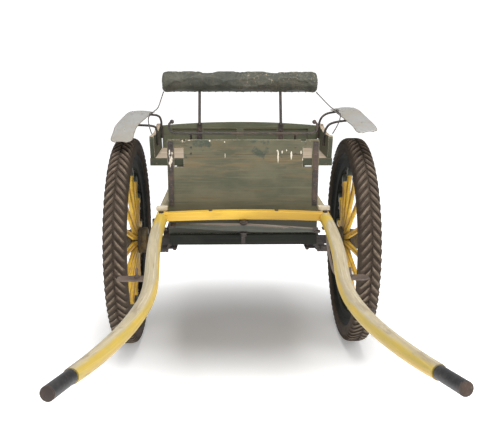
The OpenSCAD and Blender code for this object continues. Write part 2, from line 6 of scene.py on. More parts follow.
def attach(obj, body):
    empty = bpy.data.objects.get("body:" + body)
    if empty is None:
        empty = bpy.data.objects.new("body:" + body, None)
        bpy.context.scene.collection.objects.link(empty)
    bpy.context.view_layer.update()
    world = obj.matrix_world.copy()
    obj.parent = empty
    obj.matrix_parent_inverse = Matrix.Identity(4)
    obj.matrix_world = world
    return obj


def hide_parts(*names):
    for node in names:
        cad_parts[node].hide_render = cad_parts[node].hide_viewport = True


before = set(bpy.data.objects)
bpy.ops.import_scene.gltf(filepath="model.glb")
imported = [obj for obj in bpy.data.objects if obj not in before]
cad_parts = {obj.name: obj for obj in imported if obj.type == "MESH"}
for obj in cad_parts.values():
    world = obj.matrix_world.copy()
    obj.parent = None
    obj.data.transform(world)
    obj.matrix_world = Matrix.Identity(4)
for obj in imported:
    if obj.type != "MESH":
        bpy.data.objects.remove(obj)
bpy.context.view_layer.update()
YO = 0.806                     # the axle's place along Y in the row frame
R_WHEEL = 0.560
WX = 0.6095
rnd = random.Random(7)
sc = bpy.context.scene
sc.view_settings.view_transform = "Standard"
sc.view_settings.look = "None"

# ---------------------------------------------------------------- camera, light, floor
def look(cam, loc, yaw, pitch, roll):
    cam.location = loc
    y, p, q = math.radians(yaw), math.radians(pitch), math.radians(roll)
    d = Vector((math.sin(y) * math.cos(p), math.cos(y) * math.cos(p), -math.sin(p)))
    r = Vector((math.cos(y), -math.sin(y), 0))
    u = r.cross(d)
    r, u = r * math.cos(q) + u * math.sin(q), u * math.cos(q) - r * math.sin(q)
    cam.rotation_euler = Matrix((r, u, -d)).transposed().to_euler()

cd = bpy.data.cameras.new("camera")
cd.sensor_width = 36.0
cd.lens = 662.52 / 500 * 36
cd.clip_end = 60
cam = bpy.data.objects.new("camera", cd)
sc.collection.objects.link(cam)
look(cam, (-0.0665, -2.722, 1.5748), 1.88, 14.272, 0.27)
sc.camera = cam

def area(name, loc, target, size, power, color=(1, 1, 1)):
    l = bpy.data.lights.new(name, "AREA")
    l.shape = "RECTANGLE"
    l.size, l.size_y = size
    l.energy = power
    l.color = color
    o = bpy.data.objects.new(name, l)
    o.location = loc
    o.rotation_euler = (Vector(target) - Vector(loc)).to_track_quat("-Z", "Y").to_euler()
    sc.collection.objects.link(o)
    return o

area("key", (2.2, -3.0, 3.2), (0, 0.2, 0.7), (1.8, 1.8), 48, (1.0, 0.99, 0.97))
area("fill", (-3.4, -2.6, 2.2), (0, 0.3, 0.7), (2.4, 2.0), 16, (0.96, 0.98, 1.0))
area("top", (0.2, -0.9, 4.6), (0, 0.6, 0.4), (2.6, 2.6), 165)
# a dim room with a bright white card behind the cart
w = bpy.data.worlds.new("studio")
w.use_nodes = True
wn = w.node_tree
def wnode(kind, **p):
    n = wn.nodes.new(kind)
    for k, v in p.items():
        setattr(n, k, v)
    return n
wsep = wnode("ShaderNodeSeparateXYZ")
wn.links.new(wnode("ShaderNodeTexCoord").outputs["Generated"], wsep.inputs[0])
wy = wnode("ShaderNodeMapRange", interpolation_type="SMOOTHSTEP")
wy.inputs["From Min"].default_value, wy.inputs["From Max"].default_value = 0.62, 0.80
wn.links.new(wsep.outputs[1], wy.inputs["Value"])
wz = wnode("ShaderNodeMapRange", interpolation_type="SMOOTHSTEP")
wz.inputs["From Min"].default_value, wz.inputs["From Max"].default_value = 0.34, 0.16
wn.links.new(wsep.outputs[2], wz.inputs["Value"])
wm = wnode("ShaderNodeMath", operation="MULTIPLY")
wn.links.new(wy.outputs["Result"], wm.inputs[0])
wn.links.new(wz.outputs["Result"], wm.inputs[1])
ws = wnode("ShaderNodeMapRange")
ws.inputs["To Min"].default_value, ws.inputs["To Max"].default_value = 0.32, 1.08
wn.links.new(wm.outputs[0], ws.inputs["Value"])
wn.nodes["Background"].inputs["Color"].default_value = (1, 1, 1, 1)
wn.links.new(ws.outputs["Result"], wn.nodes["Background"].inputs["Strength"])
sc.world = w

# ---------------------------------------------------------------- material nodes
class Mat:
    """Short names for building one node material."""
    def __init__(s, name, rough=0.7, metal=0.0, spec=0.5, coat=0.0):
        s.mat = bpy.data.materials.new(name)
        s.mat.use_nodes = True
        s.nt = s.mat.node_tree
        s.b = s.nt.nodes["Principled BSDF"]
        s.b.inputs["Roughness"].default_value = rough
        s.b.inputs["Metallic"].default_value = metal
        s.b.inputs["Specular IOR Level"].default_value = spec
        s.b.inputs["Coat Weight"].default_value = coat
    def node(s, kind, **p):
        n = s.nt.nodes.new(kind)
        for k, v in p.items():
            setattr(n, k, v)
        return n
    def put(s, sock, v):
        if isinstance(v, bpy.types.NodeSocket):
            s.nt.links.new(v, sock)
        elif isinstance(v, (tuple, list)) and sock.type == "RGBA":
            sock.default_value = tuple(v) + (1,) * (4 - len(v))
        else:
            sock.default_value = v
    def obj(s):
        return s.node("ShaderNodeTexCoord").outputs["Object"]
    def attr(s, name, out="Vector"):
        return s.node("ShaderNodeAttribute", attribute_name=name).outputs[out]
    def map(s, v, scale=(1, 1, 1), loc=(0, 0, 0), rot=(0, 0, 0)):
        n = s.node("ShaderNodeMapping")
        s.put(n.inputs["Vector"], v)
        n.inputs["Scale"].default_value = scale
        n.inputs["Location"].default_value = loc
        n.inputs["Rotation"].default_value = rot
        return n.outputs["Vector"]
    def noise(s, v, scale=5, detail=5, rough=0.55, dist=0.0):
        n = s.node("ShaderNodeTexNoise")
        s.put(n.inputs["Vector"], v)
        n.inputs["Scale"].default_value = scale
        n.inputs["Detail"].default_value = detail
        n.inputs["Roughness"].default_value = rough
        n.inputs["Distortion"].default_value = dist
        return n.outputs["Fac"]
    def voronoi(s, v, scale=5, feature="F1", rand=1.0):
        n = s.node("ShaderNodeTexVoronoi", feature=feature)
        s.put(n.inputs["Vector"], v)
        n.inputs["Scale"].default_value = scale
        n.inputs["Randomness"].default_value = rand
        return n.outputs["Distance"]
    def math(s, op, a, b=0.0, c=0.0, clamp=False):
        n = s.node("ShaderNodeMath", operation=op, use_clamp=clamp)
        s.put(n.inputs[0], a)
        s.put(n.inputs[1], b)
        s.put(n.inputs[2], c)
        return n.outputs[0]
    def step(s, x, lo, hi):
        """0 below lo, 1 above hi, smooth between."""
        n = s.node("ShaderNodeMapRange", interpolation_type="SMOOTHSTEP")
        s.put(n.inputs["Value"], x)
        n.inputs["From Min"].default_value = lo
        n.inputs["From Max"].default_value = hi
        return n.outputs["Result"]
    def ramp(s, fac, stops):
        n = s.node("ShaderNodeValToRGB")
        s.put(n.inputs["Fac"], fac)
        el = n.color_ramp.elements
        while len(el) < len(stops):
            el.new(0.5)
        for e, (p, c) in zip(el, stops):
            e.position = p
            e.color = tuple(c) + (1,) if not isinstance(c, (int, float)) else (c, c, c, 1)
        return n.outputs["Color"]
    def mix(s, fac, a, b, blend="MIX"):
        n = s.node("ShaderNodeMix", data_type="RGBA", blend_type=blend)
        s.put(n.inputs[0], fac)
        s.put(n.inputs[6], a)
        s.put(n.inputs[7], b)
        return n.outputs[2]
    def mixf(s, fac, a, b):
        n = s.node("ShaderNodeMix", data_type="FLOAT")
        s.put(n.inputs[0], fac)
        s.put(n.inputs[2], a)
        s.put(n.inputs[3], b)
        return n.outputs[0]
    def xyz(s, v):
        n = s.node("ShaderNodeSeparateXYZ")
        s.put(n.inputs[0], v)
        return n.outputs[0], n.outputs[1], n.outputs[2]
    def normal_z(s):
        return s.xyz(s.node("ShaderNodeNewGeometry").outputs["Normal"])[2]
    def edge(s, radius=0.006):
        """About 0 on flat faces and 1 on outer and inner corners."""
        bv = s.node("ShaderNodeBevel", samples=4)
        bv.inputs["Radius"].default_value = radius
        n = s.node("ShaderNodeVectorMath", operation="DOT_PRODUCT")
        s.put(n.inputs[0], bv.outputs["Normal"])
        s.put(n.inputs[1], s.node("ShaderNodeNewGeometry").outputs["Normal"])
        return s.step(s.math("SUBTRACT", 1.0, n.outputs["Value"]), 0.01, 0.16)
    def bump(s, height, strength=0.5, dist=0.001, normal=None):
        n = s.node("ShaderNodeBump")
        n.inputs["Strength"].default_value = strength
        n.inputs["Distance"].default_value = dist
        s.put(n.inputs["Height"], height)
        if normal is not None:
            s.put(n.inputs["Normal"], normal)
        return n.outputs["Normal"]
    def done(s, color=None, rough=None, normal=None, metal=None):
        if color is not None:
            s.put(s.b.inputs["Base Color"], color)
        if rough is not None:
            s.put(s.b.inputs["Roughness"], rough)
        if normal is not None:
            s.put(s.b.inputs["Normal"], normal)
        if metal is not None:
            s.put(s.b.inputs["Metallic"], metal)
        return s.mat

AX = {"X": (1, 0, 0), "Y": (0, 1, 0), "Z": (0, 0, 1)}
def grain_scale(axis, along, across):
    """Mapping scale that stretches a pattern along one axis."""
    if axis == "P":                       # the piece's own coordinates: along, round, out
        return (along, across, across)
    return tuple(along if a else across for a in AX[axis])

def painted_wood(name, paint, wood, axis="X", wear=0.42, edge_wear=0.35, top_wear=0.0, blotch=5.0,
                 rough=0.55, streak=0.5, dirt=(0.05, 0.045, 0.035), dirt_amt=0.35, soft=0.05, seed=0.0, crack=0.25):
    """Old paint over boards: two paint tones, bare grain where it has worn through, darker dirt, fine cracks along the grain."""
    m = Mat(name, rough)
    v = m.attr("pc") if axis == "P" else m.obj()
    v = m.map(v, loc=(seed, seed * 0.7, -seed * 0.4))
    fine = m.noise(m.map(v, grain_scale(axis, 3.0, 130)), 1.0, 6, 0.6)
    mid = m.noise(m.map(v, grain_scale(axis, 1.6, 26)), 1.0, 5, 0.6, 0.3)
    blob = m.noise(v, blotch, 6, 0.62)
    tiny = m.noise(v, 180, 3, 0.5)
    wood_c = m.ramp(m.math("MULTIPLY_ADD", fine, 0.6, m.math("MULTIPLY", mid, 0.4)), [(0.32, wood[0]), (0.5, wood[1]), (0.68, wood[2])])
    paint_c = m.mix(m.step(m.noise(v, 2.6, 4, 0.6), 0.38, 0.64), paint[0], paint[1])
    paint_c = m.mix(m.step(fine, 0.5, 0.75), paint_c, paint[2])
    h = m.math("MULTIPLY_ADD", blob, 1 - streak, m.math("MULTIPLY", mid, streak))
    h = m.math("ADD", h, m.math("MULTIPLY_ADD", tiny, 0.12, -0.06))
    h = m.math("MULTIPLY_ADD", m.math("SUBTRACT", fine, 0.5), 0.35, h)
    if edge_wear:
        h = m.math("MULTIPLY_ADD", m.edge(0.005), -edge_wear * 0.55, h)
    if top_wear:
        h = m.math("MULTIPLY_ADD", m.step(m.normal_z(), 0.5, 0.9), -top_wear, h)
    bare = m.math("SUBTRACT", 1.0, m.step(h, wear - soft, wear + soft))
    col = m.mix(bare, paint_c, wood_c)
    grime = m.step(m.noise(m.map(v, grain_scale(axis, 2.0, 5.0)), 1.7, 6, 0.7), 0.5, 0.78)
    col = m.mix(m.math("MULTIPLY", grime, dirt_amt), col, dirt)
    cr = m.step(m.noise(m.map(v, grain_scale(axis, 2.2, 75)), 1.0, 3, 0.5), 0.66, 0.72)
    col = m.mix(m.math("MULTIPLY", cr, crack * 2), col, tuple(c * 0.25 for c in dirt))
    bh = m.math("MULTIPLY_ADD", fine, 0.5, m.math("MULTIPLY", bare, -0.5))
    bh = m.math("MULTIPLY_ADD", cr, -1.0, bh)
    nrm = m.bump(bh, 0.55, 0.0012)
    return m.done(col, m.mixf(bare, m.mixf(tiny, rough - 0.1, rough + 0.15), 0.88), nrm)

def iron(name, dark=(0.034, 0.027, 0.024), rust=(0.088, 0.060, 0.046), pale=(0.17, 0.14, 0.12), amt=0.5, rough=0.72, scale=1.0, seed=0.0, metal=0.0):
    """Old forged iron: dark scale, brown rust blooms, rubbed edges, pitting."""
    m = Mat(name, rough, metal=metal)
    v = m.map(m.obj(), loc=(seed, -seed, seed * 0.3))
    a = m.noise(v, 22 * scale, 7, 0.65)
    b = m.noise(v, 95 * scale, 5, 0.6)
    c = m.noise(v, 6 * scale, 4, 0.5)
    mask = m.step(m.math("MULTIPLY_ADD", a, 0.6, m.math("MULTIPLY", c, 0.4)), 0.62 - amt * 0.3, 0.72 - amt * 0.22)
    col = m.mix(mask, dark, rust)
    col = m.mix(m.math("MULTIPLY", m.step(b, 0.55, 0.75), 0.55), col, pale)
    col = m.mix(m.math("MULTIPLY", m.edge(0.003), 0.35), col, pale)
    pit = m.voronoi(v, 240 * scale)
    nrm = m.bump(m.math("MULTIPLY_ADD", b, 0.7, m.math("MULTIPLY", pit, 0.5)), 0.45, 0.0008)
    return m.done(col, m.mixf(mask, rough - 0.14, rough + 0.12), nrm)

GREEN = [(0.055, 0.062, 0.036), (0.082, 0.088, 0.052), (0.105, 0.105, 0.066)]
OCHRE = [(0.10, 0.075, 0.045), (0.21, 0.155, 0.085), (0.32, 0.24, 0.14)]
BARE = [(0.30, 0.23, 0.16), (0.46, 0.37, 0.27), (0.60, 0.50, 0.38)]
mat = {}
mat["green_x"] = painted_wood("green_boards_x", GREEN, OCHRE, "X", wear=0.36, seed=1.0)
mat["green_y"] = painted_wood("green_boards_y", GREEN, OCHRE, "Y", wear=0.36, seed=2.0)
mat["green_z"] = painted_wood("green_boards_z", GREEN, OCHRE, "Z", wear=0.36, seed=3.0)
# dark green paint for the sill and bearers under the body, darkened further as painted shade
DARKG_WITH_PAINTED_SHADE = [(0.008, 0.0095, 0.007), (0.0125, 0.0145, 0.0105), (0.021, 0.0225, 0.016)]
mat["dark_green_painted_shade_x"] = painted_wood("dark_green_boards_painted_shade", DARKG_WITH_PAINTED_SHADE, [(0.05, 0.036, 0.02), (0.1, 0.075, 0.04), (0.16, 0.12, 0.07)], "X", wear=0.30, seed=4.0)
mat["dark_green_painted_shade_x"].node_tree.nodes["Principled BSDF"].inputs["Specular IOR Level"].default_value = 0.22
mat["bare"] = painted_wood("bare_seat_boards", [(0.47, 0.385, 0.29), (0.58, 0.49, 0.385), (0.62, 0.54, 0.44)], BARE, "X", wear=0.6, edge_wear=0.1, dirt=(0.2, 0.15, 0.1), dirt_amt=0.5, rough=0.85, seed=5.0)
mat["floor_wood"] = painted_wood("floor_boards", [(0.2, 0.17, 0.13), (0.26, 0.22, 0.17), (0.3, 0.26, 0.2)], BARE, "Y", wear=0.45, dirt_amt=0.7, rough=0.85, seed=6.0)
YEL = [(0.74, 0.46, 0.05), (0.66, 0.40, 0.045), (0.79, 0.54, 0.10)]
mat["crossbar"] = painted_wood("crossbar_yellow", YEL, [(0.3, 0.2, 0.06), (0.45, 0.33, 0.12), (0.6, 0.45, 0.2)], "X", wear=0.30, edge_wear=0.25, dirt=(0.25, 0.14, 0.03), dirt_amt=0.35, rough=0.46, seed=7.0, crack=0.1)
def tint(material, color, build):
    """Lay one more colour over a finished material, by a mask made from its object coordinates."""
    m = Mat.__new__(Mat)
    m.mat, m.nt = material, material.node_tree
    m.b = m.nt.nodes["Principled BSDF"]
    old = m.b.inputs["Base Color"].links[0].from_socket
    m.put(m.b.inputs["Base Color"], m.mix(build(m), old, color))
tint(mat["crossbar"], (0.44, 0.25, 0.035), lambda m: m.math("MULTIPLY", m.step(m.math("MULTIPLY_ADD", m.noise(m.map(m.obj(), (5, 20, 20)), 1.0, 5, 0.6), 0.3, m.xyz(m.obj())[0]), 0.02, 0.36), 0.62))
mat["rust"] = iron("rusty_iron")
mat["rust_dark"] = iron("dark_iron", rust=(0.07, 0.045, 0.032), amt=0.4, seed=3.0)
mat["rust_red"] = iron("rusty_tip_end", dark=(0.045, 0.032, 0.026), rust=(0.10, 0.066, 0.05), pale=(0.2, 0.16, 0.13), amt=0.6, seed=5.0)
mat["steel"] = iron("bolt_steel", dark=(0.09, 0.085, 0.08), rust=(0.15, 0.10, 0.07), pale=(0.42, 0.41, 0.39), amt=0.35, rough=0.5, metal=0.4, seed=8.0)

def dash_material():
    m = Mat("dash_paint", 0.6)
    v = m.obj()
    x, y, z = m.xyz(v)
    fine = m.noise(m.map(v, (4, 120, 120)), 1.0, 6, 0.6)
    mid = m.noise(m.map(v, (4.5, 62, 62)), 1.0, 7, 0.68, 0.5)
    wide = m.noise(m.map(v, (3.2, 17, 17)), 1.0, 7, 0.68, 0.5)
    blob = m.noise(v, 7, 6, 0.65)
    wood_c = m.ramp(m.math("MULTIPLY_ADD", fine, 0.5, m.math("MULTIPLY", mid, 0.5)), [(0.36, (0.11, 0.079, 0.04)), (0.5, (0.19, 0.137, 0.07)), (0.62, (0.29, 0.205, 0.108))])
    paint_c = m.mix(m.step(m.noise(m.map(v, (3, 6, 6)), 1.3, 5, 0.6), 0.36, 0.66), (0.068, 0.070, 0.040), (0.12, 0.11, 0.063))
    paint_c = m.mix(m.step(fine, 0.48, 0.78), paint_c, (0.132, 0.123, 0.072))
    # wear is heaviest in a band across the upper middle of the board
    band = m.math("MULTIPLY", m.step(z, 1.02, 1.08), m.math("SUBTRACT", 1.0, m.step(z, 1.13, 1.175)))
    h = m.math("MULTIPLY_ADD", wide, 0.55, m.math("MULTIPLY", mid, 0.45))
    h = m.math("MULTIPLY_ADD", m.math("SUBTRACT", fine, 0.5), 0.25, h)
    h = m.math("MULTIPLY_ADD", band, -0.02, h)
    h = m.math("ADD", h, m.math("MULTIPLY", m.math("SUBTRACT", 1.0, m.step(z, 0.86, 0.97)), 0.06))
    bare = m.math("MULTIPLY", m.math("SUBTRACT", 1.0, m.step(h, 0.40, 0.47)), 0.62)
    col = m.mix(bare, paint_c, wood_c)
    # patches of darker, newer green
    patch = m.step(m.math("MULTIPLY_ADD", blob, 0.7, m.math("MULTIPLY", m.noise(m.map(v, (6, 14, 14)), 1.0, 4, 0.6), 0.3)), 0.55, 0.60)
    patch = m.math("MULTIPLY", patch, m.step(z, 1.03, 1.10))
    col = m.mix(m.math("MULTIPLY", patch, 0.8), col, (0.035, 0.055, 0.04))
    # plank joint, grime towards the bottom, and painted shade below the crossbar
    joint = m.math("SUBTRACT", 1.0, m.step(m.math("ABSOLUTE", m.math("SUBTRACT", z, 1.118)), 0.0006, 0.0026))
    joint2 = m.math("SUBTRACT", 1.0, m.step(m.math("ABSOLUTE", m.math("SUBTRACT", z, 0.895)), 0.0004, 0.002))
    joint = m.math("MULTIPLY", m.math("MAXIMUM", joint, joint2), m.step(m.noise(m.map(v, (9, 1, 1)), 1.0, 3), 0.35, 0.6))
    col = m.mix(m.math("MULTIPLY", joint, 0.7), col, (0.02, 0.018, 0.012))
    low = m.math("MULTIPLY", m.math("SUBTRACT", 1.0, m.step(z, 0.78, 1.0)), 0.45)
    col = m.mix(low, col, (0.10, 0.095, 0.06))
    # painted shade: the strip of board below the crossbar is darkened to near black
    col = m.mix(m.math("MULTIPLY", m.math("SUBTRACT", 1.0, m.step(z, 0.815, 0.835)), 0.8), col, (0.016, 0.018, 0.012))
    # pale chips where the paint has gone from the top edge
    tiny = m.noise(v, 120, 4, 0.6)
    e = m.math("MULTIPLY", m.edge(0.006), m.step(m.math("MULTIPLY_ADD", blob, 0.5, m.math("MULTIPLY", tiny, 0.5)), 0.44, 0.54))
    col = m.mix(m.math("MULTIPLY", e, 0.85), col, (0.48, 0.45, 0.34))
    chip = m.step(m.voronoi(m.map(v, (1, 1, 1)), 26), 0.07, 0.045)
    chipn = m.math("MULTIPLY", m.math("SUBTRACT", 1.0, m.step(m.voronoi(v, 24), 0.05, 0.085)), m.step(m.noise(v, 9, 3), 0.52, 0.6))
    chipn = m.math("MULTIPLY", chipn, m.step(z, 1.0, 1.12))
    col = m.mix(m.math("MULTIPLY", chipn, 0.8), col, (0.42, 0.37, 0.25))
    scratch = m.step(m.noise(m.map(v, (60, 60, 3.0), rot=(0, 0.25, 0)), 1.0, 3, 0.5), 0.70, 0.74)
    col = m.mix(m.math("MULTIPLY", scratch, 0.35), col, (0.25, 0.22, 0.15))
    bh = m.math("MULTIPLY_ADD", fine, 0.6, m.math("MULTIPLY_ADD", bare, -0.4, m.math("MULTIPLY", joint, -2.0)))
    return m.done(col, m.mixf(bare, m.mixf(tiny, 0.45, 0.7), 0.85), m.bump(bh, 0.55, 0.0012))
mat["dash"] = dash_material()

def shaft_material():
    """Yellow paint that has bleached to cream on top, with long cracks and grey bare wood."""
    m = Mat("shaft_paint", 0.6)
    v = m.attr("pc")                       # along, round, out
    up = m.attr("topside", "Fac")
    s_, r_, o_ = m.xyz(v)
    fine = m.noise(m.map(v, (5, 190, 190)), 1.0, 6, 0.6)
    mid = m.noise(m.map(v, (2.2, 30, 30)), 1.0, 6, 0.6, 0.4)
    blob = m.noise(m.map(v, (4, 11, 11)), 1.0, 6, 0.65)
    tiny = m.noise(m.map(v, (60, 160, 160)), 1.0, 4, 0.6)
    yellow = m.mix(m.step(blob, 0.35, 0.65), (0.59, 0.40, 0.055), (0.48, 0.36, 0.085))
    yellow = m.mix(m.math("MULTIPLY", m.step(fine, 0.5, 0.7), 0.4), yellow, (0.72, 0.54, 0.13))
    cream = m.mix(m.step(mid, 0.38, 0.62), (0.48, 0.41, 0.27), (0.39, 0.325, 0.205))
    cream = m.mix(m.step(fine, 0.50, 0.70), cream, (0.57, 0.52, 0.40))
    near = m.step(s_, 1.13, 1.30)                       # 0 up to the crossbar, 1 further out
    far = m.step(s_, 1.75, 2.35)
    f = m.math("MULTIPLY_ADD", m.math("SUBTRACT", mid, 0.5), 0.8, up)
    f = m.math("MULTIPLY_ADD", m.math("SUBTRACT", blob, 0.5), 1.0, f)
    f = m.math("ADD", f, m.math("MULTIPLY_ADD", far, -0.28, m.math("MULTIPLY", m.attr("bright", "Fac"), -0.75)))
    col = m.mix(m.step(f, 0.12, 0.72), yellow, cream)
    grey = m.math("MULTIPLY", m.step(m.noise(m.map(v, (7, 26, 26)), 1.0, 6, 0.7), 0.48, 0.62), m.math("MULTIPLY", m.step(f, 0.2, 0.7), m.math("MULTIPLY_ADD", far, 0.65, 0.2)))
    col = m.mix(grey, col, (0.27, 0.22, 0.155))
    bare = m.math("MULTIPLY", m.step(m.math("MULTIPLY_ADD", m.math("SUBTRACT", fine, 0.5), 0.5, blob), 0.56, 0.62), m.step(f, 0.1, 0.5))
    col = m.mix(m.math("MULTIPLY", bare, 0.5), col, m.mix(fine, (0.24, 0.21, 0.16), (0.46, 0.42, 0.33)))
    # warm brown dirt low on the sides
    low = m.math("SUBTRACT", 1.0, m.step(f, -1.0, -0.35))
    col = m.mix(m.math("MULTIPLY", low, m.mixf(mid, 0.1, 0.7)), col, (0.34, 0.20, 0.03))
    cr = m.math("MULTIPLY", m.step(m.noise(m.map(v, (1.6, 60, 60)), 1.0, 3, 0.5), 0.62, 0.67), m.step(m.noise(m.map(v, (3, 5, 5)), 1.0, 3), 0.45, 0.6))
    col = m.mix(m.math("MULTIPLY", cr, 0.85), col, (0.09, 0.065, 0.035))
    spots = m.step(tiny, 0.66, 0.73)
    col = m.mix(m.math("MULTIPLY", spots, 0.65), col, (0.16, 0.115, 0.06))
    bh = m.math("MULTIPLY_ADD", fine, 0.5, m.math("MULTIPLY_ADD", cr, -1.6, m.math("MULTIPLY", mid, 0.4)))
    return m.done(col, m.mixf(m.step(f, 0.0, 0.7), 0.42, 0.74), m.bump(bh, 0.55, 0.001))
mat["shaft"] = shaft_material()

def spoke_material():
    """Yellow spokes lined in red and black, dark green where they meet the rim."""
    m = Mat("spoke_paint", 0.5)
    v = m.attr("pc")                       # along, across (signed, share of the half width), out
    s_, a_, o_ = m.xyz(v)
    fine = m.noise(m.map(v, (8, 30, 120)), 1.0, 5, 0.6)
    blob = m.noise(m.map(v, (14, 2.5, 30)), 1.0, 6, 0.65)
    o = m.obj()
    big = m.noise(o, 26, 5, 0.6)
    yellow = m.mix(m.step(big, 0.35, 0.68), (0.84, 0.53, 0.045), (0.68, 0.39, 0.045))
    yellow = m.mix(m.step(fine, 0.55, 0.8), yellow, (0.90, 0.68, 0.18))
    ab = m.math("ABSOLUTE", a_)
    wob = m.math("MULTIPLY_ADD", m.math("SUBTRACT", m.noise(m.map(v, (9, 0, 0)), 1.0, 2), 0.5), 0.14, ab)
    red = m.math("MULTIPLY", m.step(wob, 0.22, 0.28), m.math("SUBTRACT", 1.0, m.step(wob, 0.46, 0.54)))
    red = m.math("MULTIPLY", red, m.step(m.noise(m.map(v, (12, 3, 3)), 1.0, 4), 0.36, 0.52))
    col = m.mix(m.math("MULTIPLY", red, 0.85), yellow, (0.48, 0.10, 0.02))
    blk = m.math("MULTIPLY", m.step(wob, 0.60, 0.66), m.math("SUBTRACT", 1.0, m.step(wob, 0.76, 0.82)))
    blk = m.math("MULTIPLY", blk, m.step(m.noise(m.map(v, (10, 3, 3), (3, 1, 0)), 1.0, 4), 0.36, 0.5))
    col = m.mix(m.math("MULTIPLY", blk, 0.85), col, (0.05, 0.045, 0.02))
    foot = m.math("MAXIMUM", m.step(m.math("ADD", s_, m.math("MULTIPLY_ADD", blob, 0.01, -0.005)), 0.349, 0.354), 0.0)
    col = m.mix(foot, col, m.mix(m.step(big, 0.4, 0.6), (0.025, 0.033, 0.024), (0.055, 0.065, 0.048)))
    worn = m.step(m.math("MULTIPLY_ADD", m.math("SUBTRACT", fine, 0.5), 0.5, blob), 0.62, 0.68)
    col = m.mix(m.math("MULTIPLY", worn, 0.8), col, (0.30, 0.20, 0.09))
    dirt = m.step(m.noise(o, 9, 6, 0.7), 0.48, 0.75)
    col = m.mix(m.math("MULTIPLY", dirt, 0.5), col, (0.16, 0.105, 0.04))
    hubside = m.math("SUBTRACT", 1.0, m.step(s_, 0.07, 0.16))
    col = m.mix(m.math("MULTIPLY", hubside, 0.55), col, (0.17, 0.115, 0.04))
    return m.done(col, m.mixf(worn, 0.46, 0.85), m.bump(m.math("MULTIPLY_ADD", worn, -0.6, m.math("MULTIPLY", fine, 0.5)), 0.5, 0.0009))
mat["spoke"] = spoke_material()

def hub_material():
    m = Mat("hub_paint", 0.6)
    v = m.obj()
    a = m.noise(m.map(v, (30, 12, 12)), 1.0, 6, 0.62)
    b = m.noise(v, 40, 6, 0.6)
    c = m.noise(v, 120, 4, 0.6)
    col = m.mix(m.step(a, 0.38, 0.6), (0.10, 0.062, 0.014), (0.042, 0.029, 0.013))
    col = m.mix(m.math("MULTIPLY", m.step(b, 0.52, 0.62), 0.8), col, (0.03, 0.023, 0.016))
    col = m.mix(m.math("MULTIPLY", m.edge(0.004), 0.3), col, (0.22, 0.15, 0.06))
    return m.done(col, m.mixf(a, 0.5, 0.8), m.bump(m.math("MULTIPLY_ADD", b, 0.6, m.math("MULTIPLY", c, 0.4)), 0.5, 0.001))
mat["hub"] = hub_material()

def rim_material():
    m = Mat("rim_paint", 0.6, spec=0.08)
    v = m.obj()
    a = m.noise(v, 18, 6, 0.65)
    b = m.noise(v, 110, 5, 0.6)
    col = m.mix(m.step(a, 0.4, 0.62), (0.007, 0.008, 0.007), (0.017, 0.019, 0.015))
    col = m.mix(m.math("MULTIPLY", m.step(b, 0.58, 0.72), 0.4), col, (0.12, 0.10, 0.08))
    rub = m.step(m.noise(v, 33, 6, 0.7), 0.60, 0.68)
    col = m.mix(m.math("MULTIPLY", rub, 0.5), col, (0.10, 0.085, 0.07))
    return m.done(col, m.mixf(a, 0.5, 0.8), m.bump(b, 0.35, 0.0006))
mat["rim"] = rim_material()

def tyre_material():
    m = Mat("dusty_tyre", 0.85, spec=0.3)
    v = m.obj()
    lug = m.attr("lug", "Fac")
    a = m.noise(v, 11, 6, 0.65)
    b = m.noise(v, 70, 6, 0.65)
    c = m.noise(v, 260, 4, 0.6)
    # groove colour: dark dusty rubber with painted shade, for the grooves and the lug sides; the lug weight brings in
    # the paler worn lug tops
    groove_with_painted_shade = m.mix(a, (0.040, 0.029, 0.022), (0.085, 0.062, 0.045))
    top = m.mix(m.step(b, 0.3, 0.7), (0.155, 0.118, 0.082), (0.25, 0.196, 0.14))
    top = m.mix(m.step(a, 0.42, 0.66), top, (0.165, 0.126, 0.09))
    f = m.math("MULTIPLY_ADD", m.math("SUBTRACT", b, 0.5), 0.5, lug)
    col = m.mix(m.step(f, 0.28, 0.86), groove_with_painted_shade, top)
    col = m.mix(m.math("MULTIPLY", m.step(c, 0.6, 0.72), 0.4), col, (0.24, 0.19, 0.14))
    return m.done(col, m.mixf(lug, 0.92, 0.8), m.bump(m.math("MULTIPLY_ADD", b, 0.5, m.math("MULTIPLY", c, 0.5)), 0.55, 0.0012))
mat["tyre"] = tyre_material()

def tip_material():
    m = Mat("tip_black", 0.45)
    v = m.obj()
    a = m.noise(v, 28, 6, 0.65)
    b = m.noise(v, 130, 5, 0.6)
    col = m.mix(m.step(a, 0.45, 0.6), (0.012, 0.012, 0.014), (0.03, 0.029, 0.03))
    col = m.mix(m.math("MULTIPLY", m.step(b, 0.56, 0.7), 0.5), col, (0.10, 0.085, 0.07))
    col = m.mix(m.math("MULTIPLY", m.edge(0.004), 0.6), col, (0.20, 0.12, 0.08))
    return m.done(col, m.mixf(a, 0.35, 0.65), m.bump(b, 0.5, 0.0008))
mat["tip"] = tip_material()

def guard_material():
    m = Mat("guard_metal", 0.6)
    v = m.obj()
    a = m.noise(v, 7, 6, 0.6)
    b = m.noise(v, 45, 6, 0.62)
    c = m.noise(m.map(v, (60, 8, 8)), 1.0, 4, 0.6)
    e = m.attr("rim", "Fac")
    col = m.mix(m.step(a, 0.36, 0.64), (0.345, 0.32, 0.275), (0.365, 0.36, 0.345))
    col = m.mix(m.math("MULTIPLY", m.step(c, 0.5, 0.68), 0.3), col, (0.33, 0.315, 0.285))
    col = m.mix(m.math("MULTIPLY", m.step(b, 0.60, 0.68), 0.45), col, (0.27, 0.22, 0.16))
    ef = m.step(m.math("MULTIPLY_ADD", m.math("SUBTRACT", b, 0.5), 0.8, e), 0.55, 0.9)
    col = m.mix(m.math("MULTIPLY", ef, 0.8), col, (0.19, 0.155, 0.115))
    return m.done(col, m.mixf(a, 0.5, 0.72), m.bump(m.math("MULTIPLY_ADD", b, 0.5, m.math("MULTIPLY", c, 0.4)), 0.35, 0.0008))
mat["guard"] = guard_material()

